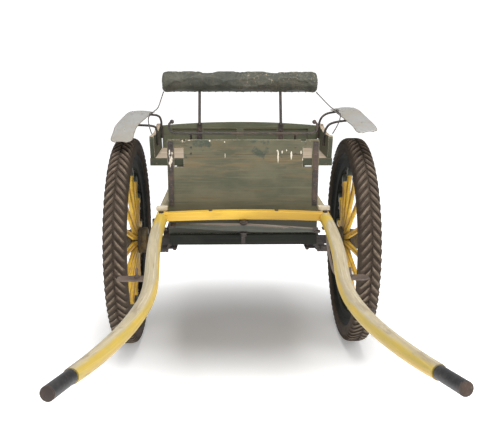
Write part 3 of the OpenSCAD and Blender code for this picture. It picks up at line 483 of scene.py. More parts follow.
def roll_material():
    """Painted canvas cover, dark grey green, cracked, with ochre flakes where the surface has lifted."""
    m = Mat("roll_cover", 0.7)
    v = m.obj()
    x, y, z = m.xyz(v)
    a = m.noise(m.map(v, (9, 3, 3)), 1.0, 6, 0.65)
    b = m.noise(v, 42, 6, 0.7)
    c = m.noise(v, 140, 5, 0.65)
    ring = m.noise(m.map(v, (140, 5, 5)), 1.0, 4, 0.6)
    col = m.mix(m.step(a, 0.34, 0.66), (0.062, 0.067, 0.052), (0.105, 0.103, 0.078))
    col = m.mix(m.math("MULTIPLY", m.step(ring, 0.5, 0.75), 0.5), col, (0.052, 0.055, 0.046))
    up = m.step(m.math("SUBTRACT", z, 1.398), -0.03, 0.045)
    fl = m.math("MULTIPLY", m.step(m.math("MULTIPLY_ADD", c, 0.45, m.math("MULTIPLY", b, 0.55)), 0.572, 0.592), m.math("MULTIPLY_ADD", up, 0.85, 0.15))
    fl = m.math("MULTIPLY", fl, m.step(m.noise(m.map(v, (5, 3, 3)), 1.0, 3), 0.40, 0.52))
    col = m.mix(fl, col, m.mix(m.noise(v, 60, 3), (0.34, 0.24, 0.13), (0.62, 0.53, 0.40)))
    brown = m.step(m.noise(m.map(v, (4, 5, 5)), 1.3, 5, 0.6), 0.56, 0.7)
    col = m.mix(m.math("MULTIPLY", brown, 0.55), col, (0.125, 0.10, 0.07))
    crackle = m.math("SUBTRACT", 1.0, m.step(m.voronoi(m.map(v, (1.4, 1, 1)), 95, "DISTANCE_TO_EDGE"), 0.02, 0.09))
    col = m.mix(m.math("MULTIPLY", crackle, 0.3), col, (0.03, 0.03, 0.025))
    bh = m.math("MULTIPLY_ADD", ring, 0.7, m.math("MULTIPLY_ADD", crackle, -0.5, m.math("MULTIPLY_ADD", b, 0.8, m.math("MULTIPLY", fl, -0.7))))
    return m.done(col, m.mixf(b, 0.55, 0.8), m.bump(bh, 0.55, 0.0016))
mat["roll"] = roll_material()
mat["wire"] = iron("stay_wire", dark=(0.06, 0.05, 0.045), rust=(0.15, 0.11, 0.085), pale=(0.3, 0.28, 0.26), amt=0.4, seed=9.0)

def white_paint():
    m = Mat("white_paint_drips", 0.55)
    v = m.obj()
    a = m.noise(v, 90, 5, 0.6)
    return m.done(m.mix(m.step(a, 0.4, 0.7), (0.74, 0.68, 0.56), (0.52, 0.44, 0.32)), None, m.bump(a, 0.4, 0.0006))
mat["drip"] = white_paint()
mat["tree"] = painted_wood("swingletree_paint", [(0.045, 0.05, 0.038), (0.064, 0.068, 0.05), (0.083, 0.083, 0.064)], [(0.10, 0.077, 0.06), (0.165, 0.13, 0.105), (0.25, 0.205, 0.17)], "P", wear=0.40, edge_wear=0.0, top_wear=0.18, seed=10.0)
mat["block"] = painted_wood("packing_block_paint", [(0.50, 0.42, 0.30), (0.62, 0.55, 0.42), (0.70, 0.64, 0.52)], BARE, "Y", wear=0.42, dirt=(0.2, 0.14, 0.08), rough=0.75, seed=11.0)

# ---------------------------------------------------------------- mesh helpers
def catmull(p, m):
    p = [Vector(q) for q in p]
    out = []
    for k in range((len(p) - 1) * m + 1):
        u = k / m
        i = min(int(u), len(p) - 2)
        t = u - i
        a, b, c, d = p[max(i - 1, 0)], p[i], p[i + 1], p[min(i + 2, len(p) - 1)]
        out.append(0.5 * (2 * b + (c - a) * t + (2 * a - 5 * b + 4 * c - d) * t * t + (3 * b - a - 3 * c + d) * t ** 3))
    return out

def mm(pts, side=1, yo=YO):
    """Millimetres in the cart's own frame to metres in the row frame."""
    return [Vector((side * x / 1000, y / 1000 + yo, z / 1000)) for x, y, z in pts]

def make(name, verts, faces, material, body, replaces=(), smooth=True, attrs=None, sharp=35):
    me = bpy.data.meshes.new(name)
    me.from_pydata([tuple(v) for v in verts], [], faces)
    me.validate()
    for k, vals in (attrs or {}).items():
        vals = np.asarray(vals, np.float32)
        if vals.ndim == 2:
            a = me.attributes.new(k, "FLOAT_VECTOR", "POINT")
            a.data.foreach_set("vector", vals.ravel())
        else:
            a = me.attributes.new(k, "FLOAT", "POINT")
            a.data.foreach_set("value", vals)
    if smooth:
        me.polygons.foreach_set("use_smooth", [True] * len(me.polygons))
        if sharp:
            me.set_sharp_from_angle(angle=math.radians(sharp))
    me.update()
    o = bpy.data.objects.new(name, me)
    me.materials.append(material)
    sc.collection.objects.link(o)
    if body:
        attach(o, body)
    if replaces:
        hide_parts(*replaces)
    return o

class Build:
    """Gathers parts of one piece: vertices, faces and per-point values."""
    def __init__(s):
        s.v, s.f, s.pc, s.w = [], [], [], []
    def add(s, verts, faces, pc=None, w=None):
        n = len(s.v)
        s.v += [Vector(v) for v in verts]
        s.f += [[i + n for i in f] for f in faces]
        s.pc += [tuple(p) for p in pc] if pc is not None else [tuple(v) for v in verts]
        s.w += list(w) if w is not None else [0.0] * len(verts)
    def flip_x(s):
        s.v = [Vector((-v.x, v.y, v.z)) for v in s.v]
        s.f = [f[::-1] for f in s.f]
        return s

def tube(P, R, n=16, ref=(0, 0, 1), shape=None, cap=True, dome=0.0):
    """Verts, faces, pc of a bar along P. R is a radius or one per point; shape(k, i) scales it."""
    ref = Vector(ref)
    m = len(P)
    V, F, PC = [], [], []
    s = 0.0
    for i in range(m):
        t = (P[min(i + 1, m - 1)] - P[max(i - 1, 0)]).normalized()
        u = t.cross(ref).normalized()
        w_ = t.cross(u)
        r = R[i] if hasattr(R, "__len__") else R
        if i:
            s += (P[i] - P[i - 1]).length
        for k in range(n):
            a = 2 * math.pi * k / n
            q = r * (shape(a, i) if shape else 1.0)
            V.append(P[i] + q * (math.cos(a) * u + math.sin(a) * w_))
            PC.append((s, a * r, q))
    for i in range(m - 1):
        for k in range(n):
            a, b = i * n + k, i * n + (k + 1) % n
            F.append((a, b, b + n, a + n))
    if cap:
        for (i, order, d) in ((0, -1, P[0] - P[1]), (m - 1, 1, P[m - 1] - P[m - 2])):
            r = R[i] if hasattr(R, "__len__") else R
            c = len(V)
            V.append(P[i] + d.normalized() * r * dome)
            PC.append((0 if i == 0 else s, 0, 0))
            for k in range(n):
                a, b = i * n + k, i * n + (k + 1) % n
                F.append((a, b, c)[::order] if order == 1 else (b, a, c))
    return V, F, PC

def lathe(profile, seg=96, cx=0.0, cy=YO, cz=R_WHEEL, side=1):
    """Verts and faces of a closed ring profile [(r, x)] turned about the X axis through (cx, cy, cz)."""
    V, F = [], []
    m = len(profile)
    for j in range(seg):
        a = 2 * math.pi * j / seg
        for r, x in profile:
            V.append(Vector((cx + side * x, cy + r * math.cos(a), cz + r * math.sin(a))))
    for j in range(seg):
        for i in range(m):
            a, b = j * m + i, j * m + (i + 1) % m
            c, d = ((j + 1) % seg) * m + (i + 1) % m, ((j + 1) % seg) * m + i
            F.append((a, b, c, d) if side < 0 else (d, c, b, a))
    return V, F

def bolt(P, d, r=0.008, h=0.005, n=14):
    """A low domed rivet or bolt head at P, standing along d."""
    d = Vector(d).normalized()
    ref = Vector((0, 0, 1)) if abs(d.z) < 0.9 else Vector((0, 1, 0))
    return tube([P, P + d * h * 0.45, P + d * h * 0.85, P + d * h], [r, r * 0.97, r * 0.72, r * 0.3], n, ref, dome=0.2)[:3]

def hexnut(P, d, f=0.016, h=0.009):
    d = Vector(d).normalized()
    ref = Vector((0, 0, 1)) if abs(d.z) < 0.9 else Vector((0, 1, 0))
    r = f / 2 / math.cos(math.pi / 6)
    return tube([P, P + d * h * 0.86, P + d * h], [r, r, r * 0.88], 6, ref)[:3]

# ---------------------------------------------------------------- wheels
def top_profile(s):
    """(x, r) of the tread's surface at arc length s from the centre line."""
    pts = [(0, 559.6), (21, 559.6), (36, 556.8), (46.5, 551), (53, 540), (55.5, 527), (56.4, 512)]
    acc = 0
    for (x0, r0), (x1, r1) in zip(pts, pts[1:]):
        L = math.hypot(x1 - x0, r1 - r0)
        if s <= acc + L or (x1, r1) == pts[-1]:
            t = min(1.0, (s - acc) / L)
            return x0 + (x1 - x0) * t, r0 + (r1 - r0) * t
        acc += L

def tyre(side, body, replaced):
    b = Build()
    cx = side * WX
    half = [(0, 551), (21, 551), (35, 548.5), (44.5, 543), (50.5, 533), (54, 521), (56, 510), (56.4, 500), (54.5, 488), (50, 479.5), (46.5, 477.8), (44.5, 475.8), (35.2, 475.2), (35.0, 467), (20, 466.6)]
    # two low ribs round the side wall
    half = half[:8] + [(56.9, 497), (56.9, 494), (55.0, 491)] + half[8:]
    prof = [(r / 1000, x / 1000) for x, r in half] + [(r / 1000, -x / 1000) for x, r in half[::-1] if x > 0]
    V, F = lathe(prof, 234, cx, side=1)
    # the tread between the lugs takes the dark groove colour, partly painted shade; the side wall is a little paler
    b.add(V, F, w=[0.32 if math.hypot(v.y - YO, v.z - R_WHEEL) < 0.53 else 0.05 for v in V])
    n = 78
    K = 8
    for j in range(n):
        for arm in (-1, 1):
            u0 = 2 * math.pi * (j + (0.36 if arm > 0 else 0.0)) / n
            wear_ = rnd.uniform(0.72, 1.0)
            jit = rnd.uniform(-0.0006, 0.0006)
            st = []
            for k in range(K + 1):
                s = (2.6 if arm < 0 else 3.6) + 69.0 * k / K
                x, r = top_profile(max(0.0, s))
                x = x if s > 0 else s
                x2, r2 = top_profile(max(0.0, s) + 1)
                nx, nr = (r - r2), (x2 - x)
                L = math.hypot(nx, nr) or 1
                nx, nr = nx / L, nr / L
                hgt = 9.2 * min(1.0, (80 - s) / 26)
                u = u0 - 1.12 * min(s, 50) / 560 - 0.30 * max(0, s - 50) / 560
                wd = 13.6 - 1.6 * (k / K)
                f = k / K
                fade = min(1.0, 0.5 + f / 0.3) * (1.0 if f < 0.5 else 1.0 - 0.75 * (f - 0.5) / 0.5)
                row = []
                # lug weight across each row: 0 at the lug's foot and sides takes the dark groove colour, painted shade;
                # it rises to 1 on the worn edge of the lug top
                for du, off, lw in ((-wd - 1.5, -hgt, 0.0), (-wd, -2.4, 0.22), (-wd + 5, -1.2, 0.36), (wd - 11.0, -0.4, 0.72), (wd - 2.0, 0, 1.0), (wd, -1.3, 0.6), (wd + 1.3, -hgt, 0.0)):
                    rr = (r + nr * off) / 1000 + (jit if off > -2 else 0)
                    xx = (x + nx * off) / 1000
                    a = u + du / 560
                    row.append((Vector((cx + arm * xx, YO - rr * math.cos(a), R_WHEEL + rr * math.sin(a))), lw * fade))
                st.append(row)
            V = [p for row in st for p, _ in row]
            W = [l * wear_ * rnd.uniform(0.85, 1.0) for row in st for _, l in row]
            F = []
            for k in range(K):
                for q in range(6):
                    a0, a1 = k * 7 + q, k * 7 + q + 1
                    F.append((a0, a1, a1 + 7, a0 + 7) if arm < 0 else (a0 + 7, a1 + 7, a1, a0))
            F.append((0, 1, 2, 3, 4, 5, 6)[::arm])
            F.append(tuple(K * 7 + q for q in range(7))[::-arm])
            b.add(V, F, w=W)
    return make("tyre_" + ("left" if side < 0 else "right") + "_tread", b.v, b.f, mat["tyre"], body, replaced, attrs={"lug": b.w}, sharp=40)

def ring_piece(name, prof, side, material, body, replaced, seg=160):
    V, F = lathe([(r / 1000, x / 1000) for r, x in prof], seg, side * WX, side=1)
    return make(name, V, F, material, body, replaced, sharp=38)

DISH = 0.033     # how far in the spokes meet the hub
def spokes(side, body, replaced):
    b = Build()
    cx = side * WX
    prof = [(62.5, 12.2, 15, 0), (72, 12.6, 15, 0.1), (90, 12.9, 14.6, 0.5), (120, 13.6, 13.6, 0.9), (160, 14.4, 13.0, 1), (220, 14.6, 12.6, 1), (280, 13.8, 12.4, 1), (325, 13.2, 12.4, 0.9), (342, 13.4, 12.8, 0.6),
            (350, 15.2, 13.6, 0.3), (354, 19.6, 14.4, 0.05), (357, 21, 14.8, 0.0), (378, 21, 14.8, 0), (396.6, 21, 14.8, 0)]
    n = 20
    for k in range(14):
        phi = 2 * math.pi * k / 14
        # spoke directions in the YZ plane, one pair level with the hub
        ey, ez = math.cos(phi), -math.sin(phi)
        d = Vector((0, ey, ez))
        t = Vector((0, -ez, ey))
        V, PC = [], []
        jx = rnd.uniform(-0.0005, 0.0005)
        for (r, hw, hd, rnd_) in prof:
            for q in range(n):
                a = 2 * math.pi * (q + 0.5) / n
                c, s_ = math.cos(a), math.sin(a)
                # between a rectangle (0) and an ellipse (1)
                e = 0.28 + 0.72 * rnd_
                ux = math.copysign(abs(c) ** e, c) * hw / 1000
                uy = math.copysign(abs(s_) ** e, s_) * hd / 1000
                V.append(Vector((cx + jx - side * DISH * min(1.0, (397.0 - r) / 334.7), YO, R_WHEEL)) + d * (r / 1000) + t * ux + Vector((1, 0, 0)) * uy)
                ang = c if abs(s_) < 0.8 else c
                PC.append((r / 1000, ux * 1000 / 14.0, uy * 1000 / 14.0 + k * 3.7))
        m = len(prof)
        F = []
        for i in range(m - 1):
            for q in range(n):
                a0, a1 = i * n + q, i * n + (q + 1) % n
                F.append((a0, a0 + n, a1 + n, a1))
        F.append(tuple(range(n)))
        F.append(tuple((m - 1) * n + q for q in range(n))[::-1])
        b.add(V, F, PC)
    o = make("spokes_" + ("left" if side < 0 else "right") + "_turned", b.v, b.f, mat["spoke"], body, replaced, attrs={"pc": b.pc}, sharp=32)
    return o

def rim_bolt_set(side, body, replaced):
    b = Build()
    cx = side * WX
    for k in range(14):
        phi = 2 * math.pi * (k + 0.5) / 14
        d = Vector((0, math.cos(phi), -math.sin(phi)))
        c = Vector((cx, YO, R_WHEEL))
        b.add(*tube([c + d * 0.3978, c + d * 0.3945, c + d * 0.3930], [0.0115, 0.0112, 0.009], 18, (1, 0, 0))[:3])
        b.add(*hexnut(c + d * 0.3930, -d, 0.016, 0.0085))
        b.add(*tube([c + d * 0.386, c + d * 0.3835], [0.0038, 0.0034], 10, (1, 0, 0))[:3])
    return make("rim_bolts_" + ("left" if side < 0 else "right") + "_nuts", b.v, b.f, mat["steel"], body, replaced)

for side, name in ((-1, "left"), (1, "right")):
    body = "wheel_" + name
    tyre(side, body, ["tyre_" + name])
    rim_prof = [(442, -26), (442, 26), (452, 30), (460, 36.5), (464.5, 40), (470, 40.8), (474.8, 41.8), (475.4, 40.5), (475, 38), (471, 36.6), (466.2, 35.6), (465.4, 34), (462, 20), (450, 14)]
    rim_prof = rim_prof + [(r, -x) for r, x in rim_prof[::-1][:-2]]
    ring_piece("rim_" + name + "_steel", rim_prof, side, mat["rim"], body, ["rim_" + name])
    fel = [(400.5, -8), (398.6, -11), (398.2, -16), (399.5, -21), (402, -25), (405, -26), (441.5, -26)]
    fel = fel + [(r, -x) for r, x in fel[::-1]]
    ring_piece("felloe_" + name + "_channel", fel, side, mat["rim"], body, ["felloe_" + name])
    spokes(side, body, ["spokes_" + name])
    rim_bolt_set(side, body, ["rim_bolts_" + name])

# ---------------------------------------------------------------- shafts
SHAFT = [(373, 520, 832), (373, 200, 832), (373, -200, 834), (373, -500, 838), (372, -650, 837), (370, -800, 834), (366, -950, 823),
         (358, -1100, 806), (346, -1250, 786), (340, -1380, 774), (346, -1500, 768), (366, -1650, 769), (394, -1800, 778), (426, -1950, 793), (450, -2056, 809)]
def shaft(side):
    name = "left" if side < 0 else "right"
    P = catmull(mm(SHAFT, side), 14)
    R = []
    for p in P:
        y = (p.y - YO) * 1000
        R.append((21.5 + 5.5 * min(1, max(0, (y + 2056) / 500) ** 0.6)) / 1000)
    def uneven(a, i):
        return 1 + 0.012 * math.sin(3 * a + i * 0.11) + 0.012 * noise.noise((math.cos(a) * 1.5, math.sin(a) * 1.5, i * 0.09 + side * 7))
    V, F, PC = tube(P, R, 40, (0, 0, 1), uneven)
    up = []
    n = 40
    for i, v in enumerate(V):
        c = P[min(i // n, len(P) - 1)]
        q = (v - c)
        up.append(max(-1.0, min(1.0, q.z / 0.024 + 0.25 * q.x * side / 0.024)))
        # lap for the crossbar
        y = v.y - YO
        if -0.6225 < y < -0.5775 and v.z > 0.8218:
            v.z = 0.8218
    # fresher yellow paint on the length just ahead of the crossbar, more of it on the left shaft
    bright = []
    for v in V:
        y = (v.y - YO) * 1000
        q = math.exp(-((y + 700) / (190 if side < 0 else 70)) ** 2)
        bright.append(q)
    return make("shaft_" + name + "_wood", V, F, mat["shaft"], "cart", ["shaft_" + name], attrs={"pc": PC, "topside": up, "bright": bright}, sharp=50)
for side in (-1, 1):
    shaft(side)
    name = "left" if side < 0 else "right"
    # packing blocks behind the crossbar
    b = Build()
    for (x0, x1, y0, y1, z0, z1) in ((347, 399, -572, -538, 862, 880.2), (352, 392, -541, -510, 864, 893)):
        lo = Vector((min(side * x0, side * x1) / 1000, y0 / 1000 + YO, z0 / 1000))
        hi = Vector((max(side * x0, side * x1) / 1000, y1 / 1000 + YO, z1 / 1000))
        if z1 > 885:
            continue
        bm = bmesh.new()
        bmesh.ops.create_cube(bm, size=1.0)
        for v in bm.verts:
            v.co = Vector((lo.x + (v.co.x + 0.5) * (hi.x - lo.x), lo.y + (v.co.y + 0.5) * (hi.y - lo.y), lo.z + (v.co.z + 0.5) * (hi.z - lo.z)))
        bmesh.ops.bevel(bm, geom=bm.edges[:], offset=0.003, segments=3, profile=0.6, affect="EDGES")
        bmesh.ops.recalc_face_normals(bm, faces=bm.faces[:])
        bm.verts.index_update()
        b.add([v.co.copy() for v in bm.verts], [[v.index for v in f.verts] for f in bm.faces])
        bm.free()
    make("packing_block_" + name, b.v, b.f, mat["block"], "cart", ())
    # rusted disc that closes each tip
    d = Vector((side * 25, -117, 18)).normalized()
    a = Vector((side * 0.450, -2.056 + YO, 0.809)) + d * 0.0025
    V, F, PC = tube([a + d * 0.1165, a + d * 0.1188, a + d * 0.1195], [0.0172, 0.0168, 0.0140], 32, (0, 0, 1), dome=0.02)
    make("shaft_tip_" + name + "_end", V, F, mat["rust_red"], "cart", ())

# ---------------------------------------------------------------- rein rail
def rail_pts():
    out = [(0, -535, 1212), (60, -535, 1212), (145, -535, 1212), (240, -535, 1212), (285, -535, 1212)]
    for k in range(13):
        a = math.radians(-90 + 90 * k / 12)
        out.append((304 + 30 * math.cos(a), -535, 1242 + 30 * math.sin(a)))
    return out + [(333.6, -535, 1249), (332, -535, 1255), (328.5, -535, 1259), (324, -535, 1262)]
half = mm(rail_pts())
full = [Vector((-p.x, p.y, p.z)) for p in half[::-1]][:-1] + half
b = Build()
b.add(*tube(full, 0.0052, 16, (0, 1, 0)))
for s in (-1, 1):
    b.add(*tube(catmull(mm([(237, -515.5, 1112), (237, -515.5, 1160), (237, -519, 1190), (237, -535, 1211)], s), 6), 0.0052, 14, (1, 0, 0)))
    c = Vector((s * 0.320, -0.535 + YO, 1.264))
    V, F = [], []
    for i in range(9):
        t = math.pi * i / 8
        for k in range(16):
            a = 2 * math.pi * k / 16
            V.append(c + Vector((0.0098 * math.sin(t) * math.cos(a), 0.0088 * math.sin(t) * math.sin(a), 0.0098 * math.cos(t))))
    for i in range(8):
        for k in range(16):
            a0, a1 = i * 16 + k, i * 16 + (k + 1) % 16
            F.append((a0, a0 + 16, a1 + 16, a1))
    b.add(V, F)
make("rein_rail_iron", b.v, b.f, mat["rust"], "cart", ["rein_rail"])

# ---------------------------------------------------------------- mudguards
GL = [[(486, 300, 1235), (615, 300, 1237)], [(500, 180, 1232), (630, 180, 1234)], [(541, -20, 1192), (658, -20, 1193)], [(546, -110, 1170), (657, -110, 1171)], [(548, -205, 1141), (656, -205, 1142)], [(572, -234, 1131), (632, -234, 1132)]]
GR = [[(513, 300, 1250), (645, 300, 1262)], [(528, 180, 1246), (660, 180, 1256)], [(554, -20, 1220), (676, -20, 1226)], [(558, -150, 1212), (670, -150, 1220)], [(559, -300, 1196), (661, -300, 1206)], [(584, -326, 1190), (640, -326, 1197)]]
def guard(side, g, name):
    A = catmull(mm([q[0] for q in g], side), 12)
    B = catmull(mm([q[1] for q in g], side), 12)
    m, n = len(A), 17
    V, E = [], []
    for i in range(m):
        for k in range(n):
            t = k / (n - 1)
            p = A[i].lerp(B[i], t)
            p = p + Vector((0, 0, 0.004 * math.sin(math.pi * t) - 0.0035 * (1 - math.sin(math.pi * t)) * 0.3))
            # rounded corners at the rear edge
            endd = min(i, m - 1 - i) / (m - 1)
            c = (abs(2 * t - 1) ** 5)
            lim = 0.05
            if endd < lim:
                p = p + (A[m // 2] - p) * 0.0
                sgn = 1 if i < m / 2 else -1
                p.y -= max(0, sgn) * 0.02 * c * (1 - endd / lim)
            p.z += 0.0022 * noise.noise((p.x * 9, p.y * 9, side * 3.0))
            V.append(p)
            E.append(max(1 - endd * 22, abs(2 * t - 1) ** 8 * 1.0, 0))
    F = []
    for i in range(m - 1):
        for k in range(n - 1):
            a0 = i * n + k
            F.append((a0, a0 + 1, a0 + n + 1, a0 + n) if side < 0 else (a0, a0 + n, a0 + n + 1, a0 + 1))
    o = make("guard_" + name + "_sheet", V, F, mat["guard"], "cart", ["guard_" + name], attrs={"rim": E})
    s = o.modifiers.new("thick", "SOLIDIFY")
    s.thickness = 0.003
    s.offset = -1
    s.use_rim = True
    bv = o.modifiers.new("round", "BEVEL")
    bv.width = 0.001
    bv.segments = 2
    bv.limit_method = "ANGLE"
    return A, B
bb = Build()
for side, g, name in ((-1, GL, "left"), (1, GR, "right")):
    A, B = guard(side, g, name)
    for (i, t) in ((13, 0.3), (13, 0.72), (34, 0.52)):
        p = A[i].lerp(B[i], t) + Vector((0, 0, 0.0035))
        bb.add(*bolt(p, (0, 0, 1), 0.005, 0.0026))
make("guard_rivets", bb.v, bb.f, mat["guard"], "cart", ())

# irons that hold the guards
b = Build()
IR = [(-1, [(444, 250, 1090), (446, 250, 1150), (448, 250, 1190), (462, 250, 1214), (505, 250, 1222), (596, 250, 1223.5)]),
      (-1, [(444, 20, 1080), (446, 20, 1132), (450, 20, 1163), (466, 20, 1182), (540, 20, 1188), (636, 20, 1189)]),
      (1, [(444, 250, 1090), (446, 250, 1150), (456, 250, 1196), (482, 250, 1224), (530, 250, 1237.5), (624, 250, 1245.5)]),
      (1, [(444, 20, 1080), (446, 20, 1132), (457, 20, 1172), (483, 20, 1198), (550, 20, 1212), (656, 20, 1217.2)])]
for s, pts in IR:
    P = catmull(mm(pts, s), 10)
    m = len(P)
    R = [0.0062 if i > m * 0.2 else 0.0068 for i in range(m)]
    b.add(*tube(P, R, 16, (0, 1, 0), lambda a, i, m=m: 1.0 if i < m * 0.86 else 1.0 + 0.25 * abs(math.cos(a)) - 0.25 * abs(math.sin(a))))
    for q in (0.0, 0.03):
        p = mm([(452, pts[0][1], pts[0][2] + 12 + q * 1000)], s)[0]
        b.add(*bolt(p + Vector((-s * 0.0108, 0, 0)), (-s, 0, 0), 0.006, 0.004))
make("guard_irons_round", b.v, b.f, mat["rust"], "cart", ["guard_irons"])

# twisted wire stays
b = Build()
WL = [(440, 360, 1343), (450, 322, 1306), (462, 250, 1262), (481, 190, 1243), (497, 120, 1226), (496, 60, 1212), (484, -10, 1186), (466, -70, 1153)]
WR = [(441, 360, 1343), (468, 332, 1314), (506, 262, 1272), (524, 200, 1257), (538, 120, 1247), (536, 50, 1234), (513, -20, 1199), (476, -80, 1155)]
for s, pts in ((-1, WL), (1, WR)):
    P = catmull(mm(pts, s), 26)
    acc = 0.0
    S = [0.0]
    for i in range(1, len(P)):
        acc += (P[i] - P[i - 1]).length
        S.append(acc)
    for strand in (0, math.pi):
        Q = []
        for i, p in enumerate(P):
            t = (P[min(i + 1, len(P) - 1)] - P[max(i - 1, 0)]).normalized()
            u = t.cross(Vector((1, 0, 0))).normalized()
            w_ = t.cross(u)
            a = S[i] * 2 * math.pi / 0.026 + strand
            Q.append(p + 0.0018 * (math.cos(a) * u + math.sin(a) * w_))
        b.add(*tube(Q, 0.0019, 7, (1, 0, 0)))
    # a few turns of binding at the guard's corner
    for c_, r_ in ((P[int(len(P) * 0.50)], 0.0048), (P[int(len(P) * 0.53)], 0.0046)):
        b.add(*tube([c_ + Vector((0.006 * math.cos(a), 0.006 * math.sin(a), a * 0.0008)) for a in [x * 0.5 for x in range(26)]], 0.0014, 6, (0, 0, 1)))
make("stay_wires_twisted", b.v, b.f, mat["wire"], "cart", ["stay_wires"])

# ---------------------------------------------------------------- swingletree
a = math.radians(-8)
def tree(x, y=0.0, z=0.0):
    return Vector((x * math.cos(a) - y * math.sin(a), -0.640 + YO + x * math.sin(a) + y * math.cos(a), 0.800 + z))
P = [tree(-0.333 + 0.666 * i / 60) for i in range(61)]
R = [0.0185 + (0.0085 - 0.0185) * (abs(i - 30) / 30) ** 1.6 for i in range(61)]
V, F, PC = tube(P, R, 28, (0, 0, 1), lambda q, i: 1 + 0.02 * noise.noise((math.cos(q) * 2, math.sin(q) * 2, i * 0.15)))
make("swingletree_bar", V, F, mat["tree"], "swingletree", ["swingletree"], attrs={"pc": PC})

# ---------------------------------------------------------------- padded back roll
def back_roll():
    c = Vector((0, 0.360 + YO, 1.398))
    L, R0, rc = 0.447, 0.0558, 0.027
    prof = [(0.0, -L + 0.003)]
    for k in range(5):
        prof.append((0.006 + (R0 - rc - 0.006) * k / 4, -L + 0.003 * (1 - k / 4)))
    for k in range(1, 9):
        q = math.pi / 2 * k / 8
        prof.append((R0 - rc + rc * math.sin(q), -L + rc - rc * math.cos(q)))
    n_mid = 150
    left = -L + rc
    for k in range(1, n_mid):
        prof.append((R0, left + (-2 * left) * k / n_mid))
    prof += [(r, -x) for r, x in prof[:len(prof) - (n_mid - 1)][::-1]]
    seg = 64
    V, F = [], []
    for i, (r, x) in enumerate(prof):
        if r == 0.0:
            V.append(c + Vector((x, 0, 0)))
            continue
        for k in range(seg):
            q = 2 * math.pi * k / seg
            # q = 90 degrees is straight up
            rr = r
            V.append(c + Vector((x, rr * math.cos(q), rr * math.sin(q))))
    def idx(i, k):
        return 0 if i == 0 else 1 + (i - 1) * seg + k % seg
    m = len(prof)
    for i in range(m - 1):
        for k in range(seg):
            if i == 0:
                F.append((0, idx(1, k), idx(1, k + 1)))
            elif i == m - 2:
                F.append((idx(i, k + 1), idx(i, k), len(V) - 1))
            else:
                F.append((idx(i, k), idx(i + 1, k), idx(i + 1, k + 1), idx(i, k + 1)))
    o = make("back_roll_cover", V, F, mat["roll"], "cart", ["back_roll"], sharp=None)
    rest = np.array([tuple(v) for v in V])
    # cloth, inflated from inside, sewn down along the middle seam, the end seams and the nailed line underneath
    g = o.vertex_groups.new(name="sewn")
    for i, v in enumerate(V):
        p = v - c
        ang = math.atan2(p.z, p.y)
        seam = abs(p.x) < 0.0035 or abs(abs(p.x) - (L - rc)) < 0.0035
        nailed = abs(ang + math.pi / 2) < 0.08
        iron_ = abs(abs(p.x) - 0.232) < 0.016 and ang < -0.9 and ang > -2.2
        if seam or nailed or iron_:
            g.add([i], 0.9 if seam else 1.0, "REPLACE")
    cl = o.modifiers.new("cloth", "CLOTH")
    st = cl.settings
    st.quality = 5
    st.mass = 0.3
    st.use_pressure = True
    st.uniform_pressure_force = 4.0
    st.tension_stiffness = 25
    st.compression_stiffness = 12
    st.bending_stiffness = 0.4
    st.shrink_min = -0.035
    st.effector_weights.gravity = 0.0
    st.vertex_group_mass = "sewn"
    cl.collision_settings.use_collision = False
    cl.point_cache.frame_start = 1
    cl.point_cache.frame_end = 24
    for fr in range(1, 23):
        sc.frame_set(fr)
    dg = bpy.context.evaluated_depsgraph_get()
    me = o.evaluated_get(dg).to_mesh()
    co = np.empty(len(me.vertices) * 3)
    me.vertices.foreach_get("co", co)
    o.evaluated_get(dg).to_mesh_clear()
    co = co.reshape(-1, 3)
    d = co - rest
    ln = np.linalg.norm(d, axis=1, keepdims=True)
    cap = 0.0048
    d = d * np.minimum(1.0, cap / np.maximum(ln, 1e-9))
    co = rest + d
    o.modifiers.remove(cl)
    o.vertex_groups.clear()
    o.data.vertices.foreach_set("co", co.ravel())
    sc.frame_set(1)
    # lumps of old stuffing, pulled seams, a lip at each end
    me = o.data
    for v in me.vertices:
        p = v.co - c
        rad = Vector((0, p.y, p.z))
        if rad.length < 1e-4:
            continue
        u = rad.normalized()
        ang = math.atan2(p.z, p.y)
        dr = 0.0011 * noise.noise((p.x * 9, u.y * 2, u.z * 2)) + 0.0007 * noise.noise((p.x * 34, u.y * 4, u.z * 4))
        dr += -0.0022 * math.exp(-(p.x / 0.0030) ** 2)
        dr += -0.0010 * math.exp(-((p.x + 0.19) / 0.003) ** 2) - 0.0012 * math.exp(-((p.x - 0.255) / 0.0026) ** 2)
        dr += 0.0016 * math.exp(-((abs(p.x) - 0.415) / 0.018) ** 2)
        dr += -0.0016 * math.exp(-((abs(p.x) - 0.232) / 0.02) ** 2) * max(0.0, -math.sin(ang))
        if abs(p.x) < 0.42:
            dr += 0.0009 * max(0, noise.noise((p.x * 70, u.y * 3, u.z * 3 + 5))) * (1 if math.sin(ang) > 0.2 else 0.4)
        v.co += u * dr * min(1.0, rad.length / 0.03)
    me.update()
    o.modifiers.new("smooth", "SUBSURF").levels = 1
    o.modifiers["smooth"].render_levels = 1
    return o
back_roll()
# tacks that hold the cover under the roll and round its ends
b = Build()
for i in range(22):
    x = -0.42 + 0.84 * i / 21
    if abs(abs(x) - 0.232) < 0.02:
        continue
    b.add(*bolt(Vector((x, 0.360 + YO, 1.398 - 0.0556)), (0, 0, -1), 0.004, 0.0022, 10))
for s in (-1, 1):
    for k in range(10):
        q = 2 * math.pi * k / 10
        b.add(*bolt(Vector((s * 0.4445, 0.360 + YO + 0.02 * math.cos(q), 1.398 + 0.02 * math.sin(q))), (s, 0, 0), 0.0035, 0.0025, 10))
make("roll_tacks", b.v, b.f, mat["steel"], "cart", ())

